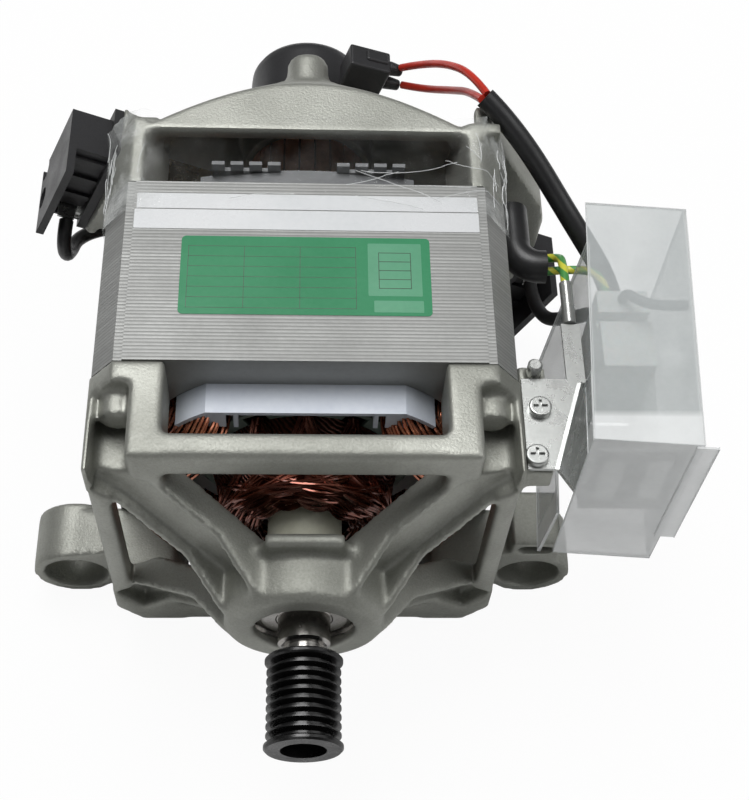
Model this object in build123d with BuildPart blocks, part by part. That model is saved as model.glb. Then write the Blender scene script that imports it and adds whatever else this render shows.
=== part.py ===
from build123d import *

import math
import os

os.makedirs("parts", exist_ok=True)

# Universal motor for a washing machine. X runs to the right and Y back along the shaft,
# from the belt pulley to the speed sensor. Z is up. All sizes are in millimetres, and the
# origin is the centre of the pulley's nose face.

# Shared clearances
overrun = 4.0
seat_gap = 0.1
running_gap = 0.3
ball_gap = 0.08

# Belt pulley
pulley_length = 23.8
pulley_flange_radius = 10.0
pulley_ridge_radius = 9.5
groove_count = 9
groove_pitch = 2.34
groove_depth = 1.9
groove_side_angle = 20
ridge_flat = 0.4
nose_recess_radius = 5.85
nose_recess_depth = 5.0
nose_chamfer = 0.5

# Shaft, by its steps from the nose backwards
shaft_pulley_radius = 5.2
shaft_collar_radius = 6.8
shaft_collar_front = 27.0
shaft_chamfer = 1.0
shaft_core_radius = 8.5
shaft_rear_radius = 4.0
shaft_rear_end = 216.0

# Bearings: bore, outside and width of each, and their balls
front_bearing_bore = 15.0
front_bearing_outside = 35.0
front_bearing_width = 11.0
rear_bearing_bore = 12.0
rear_bearing_outside = 32.0
rear_bearing_width = 10.0
bearing_ball_radius = 2.95
front_ball_count = 8
rear_ball_count = 7
shield_thickness = 0.5
shield_inset = 0.6
race_share = 0.6
bearing_chamfer = 0.6

# Laminated stator
stack_front = 82.0
stack_length = 56.0
stack_half_width = 53.5
stack_half_height = 50.0
stack_flat_half_width = 45.2
stack_step_width = 2.2
stack_step_depth = 0.6
stack_side_half_height = 41.5
stator_bore_radius = 30.0
pole_shoe_radius = 33.6
slot_radius = 46.4
slot_half_height = 39.0
pole_neck_half_height = 18.0
pole_gap_half_width = 15.0
bolt_hole_radius = 2.4

# Field coils, saddles wound round the side poles
coil_inner_radius = 34.4
coil_outer_radius = 44.6
coil_inner_angle = 33.0
coil_outer_angle = 57.0
coil_front = 66.0
coil_rear = 147.6
coil_bridge = 13.4
coil_rounding = 3.0
coil_clearance = 1.1

# Slot insulators
liner_thickness = 1.2
liner_front = 73.6
liner_rear = 145.0
liner_half_width = 33.0
liner_tab_inner = 15.8
liner_tab_width = 3.6
liner_tab_drop = 6.0

# Armature
armature_radius = 29.4
armature_slot_count = 12
armature_slot_mouth = 3.0
armature_slot_width = 6.4
armature_slot_depth = 12.0
armature_lip = 1.6
winding_front = 58.5
winding_rear = 153.5
winding_radius = 26.5
winding_inner_radius = 11.6
winding_rounding = 5.0
disc_thickness = 0.8
sleeve_front = 49.4
sleeve_radius = 10.6
sleeve_rim_radius = 12.4
sleeve_rim_length = 3.0

# Commutator
commutator_front = 158.0
commutator_length = 25.0
commutator_radius = 18.0
commutator_hub_radius = 13.2
commutator_bar_count = 24
commutator_bar_gap = 0.6
riser_radius = 20.4
riser_length = 2.6

# Front bracket
boss_front = 31.2
boss_length = 16.0
boss_radius = 20.75
boss_mouth_radius = 13.0
boss_lip = 3.4
boss_edge = 2.0
boss_rim_radius = 23.4
boss_rim_length = 3.0
rail_front = 55.0
rail_depth = 7.0
rail_half_length = 38.0
rail_inner_half_height = 40.0
rail_end_radius = 3.0
rail_front_rounding = 2.2
frame_half_width = 54.0
frame_side_half_height = 34.0
frame_shoulder_width = 48.0
frame_half_height = 45.5
frame_inner_half_width = 48.5
window_half_width = 34.5
window_corner_radius = 7.0
post_coil_clear_radius = 47.4
post_inner_wall = 8.5
post_outer_wall = 1.7
pocket_floor = 33.5
pocket_flange = 5.5
side_window_half_height = 30.0
arm_angle = 36.0
arm_half_width = 8.2
arm_rim = 2.3
arm_channel_depth = 3.4
arm_root = 15.0
arm_root_front = 38.6
arm_elbow = 52.0
arm_elbow_front = 55.2
arm_end = 57.5
arm_back_root = 47.5
arm_fin_front = 34.0
arm_fin_reach = 32.0
bolt_x = 46.6
bolt_z = 40.2
bolt_boss_radius = 4.3
bolt_boss_length = 12.0
bolt_thread_radius = 2.0
bolt_thread_depth = 10.0
lug_x = 67.0
lug_z = 45.0
lug_radius = 12.3
lug_bore_radius = 9.0
lug_front = 67.5
lug_length = 17.5
lug_web_inset = 2.0
ear_width = 15.0
ear_height = 8.4
ear_root = 4.0
ear_slot_radius = 2.0
ear_slot_length = 6.0

# Rear bracket
dome_front = 156.4
dome_apex_sum = 224.0
dome_wall = 4.2
hub_radius = 20.0
hub_rear = 205.0
hub_length = 21.0
hub_lip = 3.4
rear_window_half_width = 43.6
rear_post_flange = 5.0
vent_inner = 27.0
vent_outer = 41.0
vent_sweep = 22.0
lower_vent_angles = (235.0, 270.0, 305.0)
lead_vent_front = 159.0
lead_vent_length = 13.0
lead_vent_drop = 20.0
sensor_pillar_radius = 6.2
sensor_pillar_z = 23.8
sensor_pillar_front = 186.0
sensor_pillar_rear = 205.7
seat_distance = 63.0
seat_thickness = 3.2
seat_half_width = 19.4
seat_front = 152.0
seat_rear = 174.0
seat_block_inner = 49.0
wing_front = 158.0
wing_depth = 10.0
wing_wall = 3.0
wing_outline = [(46.0, 48.6), (51.0, 47.5), (60.3, 31.7), (69.2, 17.0), (71.0, 8.5)]
wing_foot = (69.6, -8.0)
wing_inner = (52.0, -8.0)
fin_left = 45.0
fin_right = 53.0
fin_top = 50.4
fin_bottom = 38.0
fin_thickness = 4.0
head_cut_radius = 4.7

# Long bolts
bolt_radius = 1.95
bolt_head_radius = 3.9
bolt_head_height = 3.2
bolt_socket_radius = 1.7
bolt_socket_depth = 1.8
bolt_socket_sides = 6

# Spring washer behind the rear bearing
washer_inner = 13.2
washer_outer = 15.7
washer_thickness = 0.5
washer_height = 1.2

# Brush gear, on a line tilted from the horizontal
brush_angle = 24.0
brush_y = 163.5
brush_width = 11.0
brush_height = 5.6
brush_length = 29.0
brush_gap = 0.15
guide_wall = 0.6
guide_inner = 22.0
guide_outer = 72.0
holder_half_depth = 6.8
holder_half_height = 11.5
holder_inner = 52.0
holder_outer = 77.0
flange_half_depth = 9.6
flange_short_side = 13.6
flange_long_side = 18.8
flange_thickness = 2.6
rib_face_height = 1.0
rib_face_width = 2.0
rib_face_count = 3
rib_face_pitch = 7.6
hood_front = 148.0
hood_rear = 170.0
hood_reach = 19.0
hood_thickness = 2.2
terminal_thickness = 0.8
terminal_width = 4.8
terminal_front = 152.5
terminal_perp = 14.2
terminal_distance = 70.0
spring_coil_radius = 2.0
spring_wire_radius = 0.3
spring_turns = 7
holder_screw_radius = 1.5
holder_screw_head_radius = 2.9
holder_screw_head_height = 1.6
holder_screw_perp = 15.6
holder_screw_spread = 5.2
holder_screw_length = 8.0
screw_slot_width = 0.8
screw_slot_depth = 0.8
screw_slot_length = 3.6

# Speed sensor
sensor_cap_radius = 18.0
sensor_cap_front = 205.1
sensor_cap_rear = 223.0
sensor_cap_wall = 1.6
sensor_ring_outer = 15.4
sensor_ring_inner = 11.0
sensor_ring_length = 12.0
magnet_radius = 9.8
magnet_front = 208.6
magnet_length = 7.0
arch_width = 1.4
arch_rear = 207.0
block_left = 6.0
block_right = 21.0
block_bottom = 15.0
block_top = 29.6
block_front = 202.3
block_middle = 205.5
block_rear = 211.0
block_step_x = 12.0
block_step_z = 19.5
boot_radius = 2.4
upper_boot_y = 208.4
upper_boot_z = 27.1
upper_boot_end = 29.5
lower_boot_y = 204.9
lower_boot_z = 22.1
lower_boot_end = 32.0

# Galvanised bracket, connector and cover at the right side
plate_thickness = 1.0
plate_top = 39.4
plate_outline = [(54.6, 58.0), (62.2, 58.0), (70.0, 83.0), (72.0, 84.0), (54.6, 84.0)]
fold_front = (61.2, 58.0)
fold_rear = (69.0, 83.0)
flange_drop = 38.4
flange_foot_front = (74.2, 70.0)
flange_foot_rear = (78.3, 83.0)
shelf_outline = [(74.2, 70.0), (74.2, 66.5), (97.4, 66.5), (101.0, 119.0), (78.3, 119.0), (78.3, 83.0)]
shelf_slot_front = 92.0
shelf_slot_length = 25.5
shelf_slot_left = 80.0
shelf_slot_right = 91.0
panel_left = 74.2
panel_right = 97.4
panel_top = 33.0
panel_cut_width = 6.0
panel_cut_height = 21.0
panel_cut_bottom = 7.0
earth_tab_left = 66.4
earth_tab_width = 4.8
earth_tab_rear = 101.0
bracket_pad_front = 57.6
bracket_pad_rear = 89.0
bracket_pad_left = 52.4
bracket_pad_right = 61.2
bracket_pad_drop = 8.0
bracket_screw_places = [(58.7, 75.0), (56.9, 61.2)]
bracket_screw_radius = 1.9
bracket_screw_head_radius = 2.9
bracket_screw_head_height = 1.9
stud_x = 58.1
stud_y = 86.4
stud_radius = 1.9
stud_rise = 4.2
stud_depth = 6.0
connector_left = 78.6
connector_width = 14.0
connector_front = 93.0
connector_length = 24.0
connector_height = 30.0
connector_cavity_count = 6
connector_cavity_width = 10.0
connector_cavity_length = 2.8
connector_cavity_depth = 14.0
connector_groove_y = 108.5
connector_groove_width = 3.0
connector_groove_depth = 4.0
pin_thickness = 0.8
pin_width = 4.8
pin_height = 20.0
cover_left = 71.2
cover_front = 65.2
cover_width = 27.6
cover_length = 74.3
cover_top = 42.0
cover_drop = 66.0
cover_flare = 4.5
cover_turn = 3.8
cover_wall = 0.6
cover_notch_rear = 86.0
cover_notch_bottom = 0.4
flap_width = 5.5
flap_drop = 50.0

# Thermal protector on the right field coil
protector_width = 13.0
protector_length = 6.0
protector_height = 8.0

# Leads: radius of each, and the points that it runs through
bend_share = 0.45
red_wire_radius = 1.05
harness_radius = 3.1
tube_radius = 4.6
tube_wall = 0.7
tube_bend = 7.0
tube_points = [(58.4, 149.5, 25.0), (58.4, 130.0, 25.0), (66.8, 130.0, 25.0)]
earth_wire_radius = 1.2
brush_lead_radius = 2.1
grey_lead_radius = 1.4
crimp_radius = 1.7
crimp_length = 13.0
crimp_front = 101.2
crimp_x = 68.8
crimp_z = 38.9
cover_flap_length = 61.0
red_wire_upper_points = [
    (29.5, 208.4, 27.1),
    (35.5, 208.4, 27.1),
    (40.0, 201.0, 34.0),
    (42.5, 187.0, 46.5),
    (43.3, 173.5, 56.6),
    (49.6, 168.5, 52.6),
]
red_wire_lower_points = [
    (32.0, 204.9, 22.1),
    (38.0, 204.9, 22.1),
    (42.0, 198.0, 30.0),
    (42.0, 184.0, 44.0),
    (41.7, 171.5, 56.6),
    (48.0, 166.5, 52.6),
]
harness_points = [
    (48.9, 167.4, 52.5),
    (57.9, 160.8, 47.3),
    (75.5, 143.0, 28.0),
    (86.0, 128.0, 20.0),
    (86.0, 117.0, 20.0),
]
left_lead_points = [
    (-69.7, 152.4, 14.0),
    (-69.9, 141.0, 13.0),
    (-70.0, 141.0, -4.0),
    (-68.0, 163.0, -9.0),
    (-49.0, 166.0, -9.0),
    (-42.0, 155.8, -9.0),
]
right_lead_points = [
    (69.7, 152.4, -14.0),
    (70.4, 138.0, -13.0),
    (79.0, 131.0, -2.0),
    (84.0, 127.0, 8.0),
    (84.0, 117.0, 8.0),
]
earth_wire_points = [
    (64.0, 131.6, 26.4),
    (70.0, 131.6, 27.4),
    (68.8, 122.0, 38.9),
    (68.8, 114.2, 38.9),
]
earth_link_points = [
    (64.0, 128.6, 24.0),
    (74.0, 129.6, 25.0),
    (82.0, 125.0, 29.0),
    (82.0, 117.0, 29.0),
]
grey_lead_points = [
    (85.5, 114.0, 32.0),
    (85.5, 114.0, 36.0),
    (88.0, 109.0, 38.9),
    (93.5, 107.0, 39.3),
    (100.7, 107.4, 39.3),
]
field_lead_points = [
    (40.54, 143.0, 19.86),
    (48.2, 149.0, 23.4),
    (58.4, 153.5, 25.0),
    (58.4, 146.0, 25.0),
]


def cross_plane(y):
    """A plane across the shaft at y. Extruding from it goes forward, towards the pulley."""
    return Plane.XZ.offset(-y)


def arm_plane(angle):
    """A plane through the shaft axis, with its x outwards at the angle and its y along +Y."""
    across = math.cos(math.radians(angle))
    up = math.sin(math.radians(angle))
    return Plane(origin=(0, 0, 0), x_dir=(across, 0, up), z_dir=(-up, 0, across))


def radial_plane(angle, distance, y):
    """A plane square to the line out from the shaft at the angle, with its x along +Y."""
    across = math.cos(math.radians(angle))
    up = math.sin(math.radians(angle))
    return Plane(
        origin=(across * distance, y, up * distance),
        x_dir=(0, 1, 0),
        z_dir=(across, 0, up),
    )


def sector(inner, outer, start, sweep, mode=Mode.ADD):
    """Adds a face between two radii and two angles to the sketch that is being made."""
    with BuildSketch(mode=Mode.PRIVATE) as piece:
        with BuildLine():
            inner_arc = CenterArc((0, 0), inner, start, sweep)
            outer_arc = CenterArc((0, 0), outer, start, sweep)
            Line(inner_arc @ 0, outer_arc @ 0)
            Line(inner_arc @ 1, outer_arc @ 1)
        make_face()
    add(piece.sketch_local, mode=mode)


def quarters(points):
    """Adds a closed outline and its mirror images in all four quarters."""
    with BuildSketch(mode=Mode.PRIVATE) as quarter:
        with BuildLine():
            Polyline(*points, close=True)
        make_face()
        mirror(about=Plane.YZ)
        mirror(about=Plane.XZ)
    add(quarter.sketch_local)


def turned(points):
    """A solid of revolution about the shaft axis, from (radius, y) points."""
    with BuildPart() as body:
        with BuildSketch(Plane.XY):
            with BuildLine():
                Polyline(*points, close=True)
            make_face()
        revolve(axis=Axis.Y)
    return body.part


def save(part, name):
    part.label = name
    export_step(part, f"parts/{name}.step")


# Stations along the shaft that follow from the sizes above
stack_rear = stack_front + stack_length
front_bearing_front = boss_front + boss_lip
front_bearing_rear = front_bearing_front + front_bearing_width
rear_bearing_rear = hub_rear - dome_wall - washer_height
rear_bearing_front = rear_bearing_rear - rear_bearing_width
rail_rear = rail_front + rail_depth
commutator_rear = commutator_front + commutator_length
brush_inner = commutator_radius + running_gap
left_brush_angle = 180 - brush_angle
right_brush_angle = -brush_angle

# Pulley
groove_reach = groove_depth * math.tan(math.radians(groove_side_angle))
end_flange = (pulley_length - groove_count * groove_pitch) / 2
root_radius = pulley_ridge_radius - groove_depth
rim_points = [(pulley_flange_radius - nose_chamfer, 0), (pulley_flange_radius, nose_chamfer)]
rim_points.append((pulley_flange_radius, end_flange - ridge_flat / 2))
for groove in range(groove_count):
    groove_start = end_flange + groove * groove_pitch
    rim_points.append((pulley_ridge_radius, groove_start + ridge_flat / 2))
    rim_points.append((root_radius, groove_start + ridge_flat / 2 + groove_reach))
    groove_end = groove_start + groove_pitch - ridge_flat / 2
    rim_points.append((root_radius, groove_end - groove_reach))
    rim_points.append((pulley_ridge_radius, groove_end))
rim_points.append((pulley_flange_radius, pulley_length - end_flange + ridge_flat / 2))
rim_points.append((pulley_flange_radius, pulley_length - nose_chamfer))
rim_points.append((pulley_flange_radius - nose_chamfer, pulley_length))
bore_points = [
    (shaft_pulley_radius, pulley_length),
    (shaft_pulley_radius, nose_recess_depth),
    (nose_recess_radius, nose_recess_depth),
    (nose_recess_radius, 0),
]
save(turned(rim_points + bore_points), "belt_pulley")

# Shaft
shaft_steps = [
    (shaft_pulley_radius, shaft_collar_front),
    (shaft_collar_radius, front_bearing_front),
    (front_bearing_bore / 2, front_bearing_rear),
    (shaft_core_radius, commutator_rear),
    (rear_bearing_bore / 2, rear_bearing_rear),
    (shaft_rear_radius, shaft_rear_end),
]
shaft_points = [(0, nose_recess_depth)]
step_start = nose_recess_depth
for step_radius, step_end in shaft_steps:
    previous_radius = shaft_points[-1][0]
    chamfer_size = min(shaft_chamfer, (step_radius - previous_radius) / 2)
    if chamfer_size > 0:
        shaft_points.append((step_radius - chamfer_size, step_start))
        shaft_points.append((step_radius, step_start + chamfer_size))
    else:
        shaft_points.append((step_radius, step_start))
    shaft_points.append((step_radius, step_end))
    step_start = step_end
shaft_points.append((0, shaft_rear_end))
save(turned(shaft_points), "shaft")


def make_bearing(prefix, bore, outside, width, front, ball_count):
    """Outer race with its shields, inner race and balls, each as its own node."""
    pitch_radius = (bore + outside) / 4
    race_edge = bearing_ball_radius - shield_thickness
    outer_inner = pitch_radius + race_edge * race_share
    inner_outer = pitch_radius - race_edge * race_share
    centre_y = front + width / 2
    shield_inner = inner_outer + running_gap
    with BuildPart() as outer_race:
        with BuildSketch(Plane.XY):
            with Locations(((outer_inner + outside / 2) / 2, centre_y)):
                Rectangle(outside / 2 - outer_inner, width)
            chamfer(vertices().group_by(Axis.X)[-1], length=bearing_chamfer)
            for side in (-1, 1):
                shield_y = centre_y + side * (width / 2 - shield_inset - shield_thickness / 2)
                with Locations(((shield_inner + outer_inner) / 2, shield_y)):
                    Rectangle(outer_inner - shield_inner, shield_thickness)
            with Locations((pitch_radius, centre_y)):
                Circle(bearing_ball_radius + ball_gap, mode=Mode.SUBTRACT)
        revolve(axis=Axis.Y)
    save(outer_race.part, f"{prefix}_bearing_outer_race")
    with BuildPart() as inner_race:
        with BuildSketch(Plane.XY):
            with Locations(((bore / 2 + inner_outer) / 2, centre_y)):
                Rectangle(inner_outer - bore / 2, width)
            with Locations((pitch_radius, centre_y)):
                Circle(bearing_ball_radius + ball_gap, mode=Mode.SUBTRACT)
        revolve(axis=Axis.Y)
    save(inner_race.part, f"{prefix}_bearing_inner_race")
    with BuildPart() as balls:
        with Locations(cross_plane(centre_y)):
            with PolarLocations(pitch_radius, ball_count):
                Sphere(bearing_ball_radius)
    save(balls.part, f"{prefix}_bearing_balls")


make_bearing(
    "front",
    front_bearing_bore,
    front_bearing_outside,
    front_bearing_width,
    front_bearing_front,
    front_ball_count,
)
make_bearing(
    "rear",
    rear_bearing_bore,
    rear_bearing_outside,
    rear_bearing_width,
    rear_bearing_front,
    rear_ball_count,
)

# Stator core: one punched outline, repeated through the stack
flat_end = stack_flat_half_width
step_end = stack_flat_half_width + stack_step_width
step_top = stack_half_height - stack_step_depth
with BuildPart() as stator_core:
    with BuildSketch(cross_plane(stack_rear)):
        with BuildLine():
            Polyline(
                (0, stack_half_height),
                (flat_end, stack_half_height),
                (flat_end, step_top),
                (step_end, step_top),
                (stack_half_width, stack_side_half_height),
                (stack_half_width, 0),
                (0, 0),
                close=True,
            )
        make_face()
        mirror(about=Plane.YZ)
        mirror(about=Plane.XZ)
        with BuildSketch(mode=Mode.SUBTRACT):
            Circle(slot_radius)
            Rectangle(2 * slot_radius, 2 * slot_half_height, mode=Mode.INTERSECT)
            Circle(pole_shoe_radius, mode=Mode.SUBTRACT)
            Rectangle(2 * slot_radius, 2 * pole_neck_half_height, mode=Mode.SUBTRACT)
        with BuildSketch(mode=Mode.SUBTRACT):
            Rectangle(2 * pole_gap_half_width, 2 * slot_half_height)
        Circle(stator_bore_radius, mode=Mode.SUBTRACT)
        with GridLocations(2 * bolt_x, 2 * bolt_z, 2, 2):
            Circle(bolt_hole_radius, mode=Mode.SUBTRACT)
    extrude(amount=stack_length)
save(stator_core.part, "stator_core")

# Field coils
coil_bridge_rear = coil_front + coil_bridge
for side, middle in (("right", 0), ("left", 180)):
    with BuildPart() as coil:
        with BuildSketch(cross_plane(coil_bridge_rear)):
            sector(
                coil_inner_radius,
                coil_outer_radius,
                middle - coil_outer_angle,
                2 * coil_outer_angle,
            )
        extrude(amount=coil_bridge)
        fillet(coil.edges().filter_by(GeomType.CIRCLE).group_by(Axis.Y)[0], coil_rounding)
        rear_bridge = coil_rear - stack_rear - coil_clearance
        with BuildSketch(cross_plane(coil_rear)):
            sector(
                coil_inner_radius,
                coil_outer_radius,
                middle - coil_outer_angle,
                2 * coil_outer_angle,
            )
        extrude(amount=rear_bridge)
        fillet(coil.edges().filter_by(GeomType.CIRCLE).group_by(Axis.Y)[-1], coil_rounding)
        with BuildSketch(cross_plane(coil_rear - rear_bridge)):
            for leg_start in (middle - coil_outer_angle, middle + coil_inner_angle):
                sector(
                    coil_inner_radius,
                    coil_outer_radius,
                    leg_start,
                    coil_outer_angle - coil_inner_angle,
                )
        extrude(amount=coil_rear - rear_bridge - coil_bridge_rear)
    save(coil.part, f"{side}_field_coil")

# Slot insulators: lipped strips along the top and bottom of the slots
liner_outer_height = slot_half_height - seat_gap
liner_inner_height = liner_outer_height - liner_thickness
liner_outer_radius = slot_radius - seat_gap
liner_inner_radius = liner_outer_radius - liner_thickness
liner_middle = (stack_front + stack_rear) / 2
liner_end_angle = math.degrees(math.acos(liner_half_width / liner_outer_radius))


def make_insulators(front, rear, name):
    with BuildPart() as insulators:
        with BuildSketch(cross_plane(rear)):
            Circle(liner_outer_radius)
            Rectangle(2 * slot_radius, 2 * liner_outer_height, mode=Mode.INTERSECT)
            with BuildSketch(mode=Mode.SUBTRACT):
                Circle(liner_inner_radius)
                Rectangle(2 * slot_radius, 2 * liner_inner_height, mode=Mode.INTERSECT)
            for start in (-liner_end_angle, 180 - liner_end_angle):
                sector(
                    pole_shoe_radius,
                    slot_radius + overrun,
                    start,
                    2 * liner_end_angle,
                    mode=Mode.SUBTRACT,
                )
            tab_height = liner_inner_height - liner_tab_drop / 2 + liner_thickness / 2
            tab_centre = liner_tab_inner + liner_tab_width / 2
            with GridLocations(2 * tab_centre, 2 * tab_height, 2, 2):
                Rectangle(liner_thickness, liner_tab_drop + liner_thickness)
        extrude(amount=rear - front)
    save(insulators.part, name)


make_insulators(liner_front, liner_middle, "front_slot_insulators")
make_insulators(liner_middle, liner_rear, "rear_slot_insulators")

# Armature core, slotted all round
with BuildPart() as armature_core:
    with BuildSketch(cross_plane(stack_rear)):
        Circle(armature_radius)
        Circle(shaft_core_radius, mode=Mode.SUBTRACT)
        slot_centre = armature_radius - armature_lip - armature_slot_depth / 2
        with PolarLocations(slot_centre, armature_slot_count):
            Rectangle(armature_slot_depth, armature_slot_width, mode=Mode.SUBTRACT)
        with PolarLocations(armature_radius, armature_slot_count):
            Rectangle(2 * armature_slot_mouth, armature_slot_mouth, mode=Mode.SUBTRACT)
    extrude(amount=stack_length)
save(armature_core.part, "armature_core")

# Armature winding: a rounded head at each end, joined through the slots
head_gap = disc_thickness + seat_gap
with BuildPart() as armature_winding:
    with BuildSketch(Plane.XY):
        for head_front, head_rear in (
            (winding_front, stack_front - head_gap),
            (stack_rear + head_gap, winding_rear),
        ):
            with Locations(((winding_inner_radius + winding_radius) / 2, (head_front + head_rear) / 2)):
                Rectangle(winding_radius - winding_inner_radius, head_rear - head_front)
        fillet(vertices().group_by(Axis.Y)[0], winding_rounding)
        fillet(vertices().group_by(Axis.Y)[-1].sort_by(Axis.X)[-1], winding_rounding)
    revolve(axis=Axis.Y)
    with BuildSketch(cross_plane(stack_rear + 2 * head_gap)):
        with PolarLocations(slot_centre, armature_slot_count):
            Rectangle(armature_slot_depth - 2 * running_gap, armature_slot_width - 2 * running_gap)
    extrude(amount=stack_length + 4 * head_gap)
save(armature_winding.part, "armature_winding")

# Fibre discs on the core's ends, with a slit for each slot
with BuildPart() as end_discs:
    for disc_rear in (stack_front, stack_rear + disc_thickness):
        with BuildSketch(cross_plane(disc_rear)):
            Circle(armature_radius - running_gap)
            Circle(shaft_core_radius + seat_gap, mode=Mode.SUBTRACT)
            with PolarLocations(slot_centre, armature_slot_count):
                Rectangle(armature_slot_depth, armature_slot_width, mode=Mode.SUBTRACT)
        extrude(amount=disc_thickness)
save(end_discs.part, "armature_end_discs")

# Insulating sleeve on the shaft ahead of the winding
sleeve_points = [
    (shaft_core_radius, sleeve_front),
    (sleeve_rim_radius, sleeve_front),
    (sleeve_rim_radius, sleeve_front + sleeve_rim_length),
    (sleeve_radius, sleeve_front + sleeve_rim_length),
    (sleeve_radius, stack_front - head_gap),
    (shaft_core_radius, stack_front - head_gap),
]
save(turned(sleeve_points), "shaft_sleeve")

# Commutator: moulded hub and copper bars with their risers
hub_points = [
    (shaft_core_radius, commutator_front - riser_length),
    (commutator_hub_radius, commutator_front - riser_length),
    (commutator_hub_radius, commutator_rear),
    (shaft_core_radius, commutator_rear),
]
save(turned(hub_points), "commutator_hub")
bar_half_angle = 180 / commutator_bar_count - math.degrees(commutator_bar_gap / 2 / commutator_radius)
with BuildPart() as commutator_bars:
    for bar in range(commutator_bar_count):
        bar_start = bar * 360 / commutator_bar_count - bar_half_angle
        with BuildSketch(cross_plane(commutator_rear)):
            sector(commutator_hub_radius, commutator_radius, bar_start, 2 * bar_half_angle)
        extrude(amount=commutator_length)
        with BuildSketch(cross_plane(commutator_front)):
            sector(commutator_hub_radius, riser_radius, bar_start, 2 * bar_half_angle)
        extrude(amount=riser_length)
save(commutator_bars.part, "commutator_bars")

# Front bracket, cast in one piece and alike in its four quarters
boss_rear = boss_front + boss_length
lug_rear = lug_front + lug_length
ear_top = lug_radius + ear_height - lug_z
outline = [
    (0, frame_half_height),
    (frame_shoulder_width, frame_half_height),
    (frame_half_width, frame_side_half_height),
    (frame_half_width, 0),
    (0, 0),
]
post_outline = [
    (window_half_width, stack_half_height),
    (step_end, stack_half_height),
    (frame_half_width, stack_side_half_height),
    (frame_half_width, side_window_half_height),
    (window_half_width, side_window_half_height),
]
pocket_inner = window_half_width + post_inner_wall
pocket_outer = frame_half_width - post_outer_wall


def arm_front(distance):
    """How far back the front of an arm lies, at a distance from the shaft's axis."""
    slope = (arm_elbow_front - arm_root_front) / (arm_elbow - arm_root)
    return arm_root_front + slope * (distance - arm_root)


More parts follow.
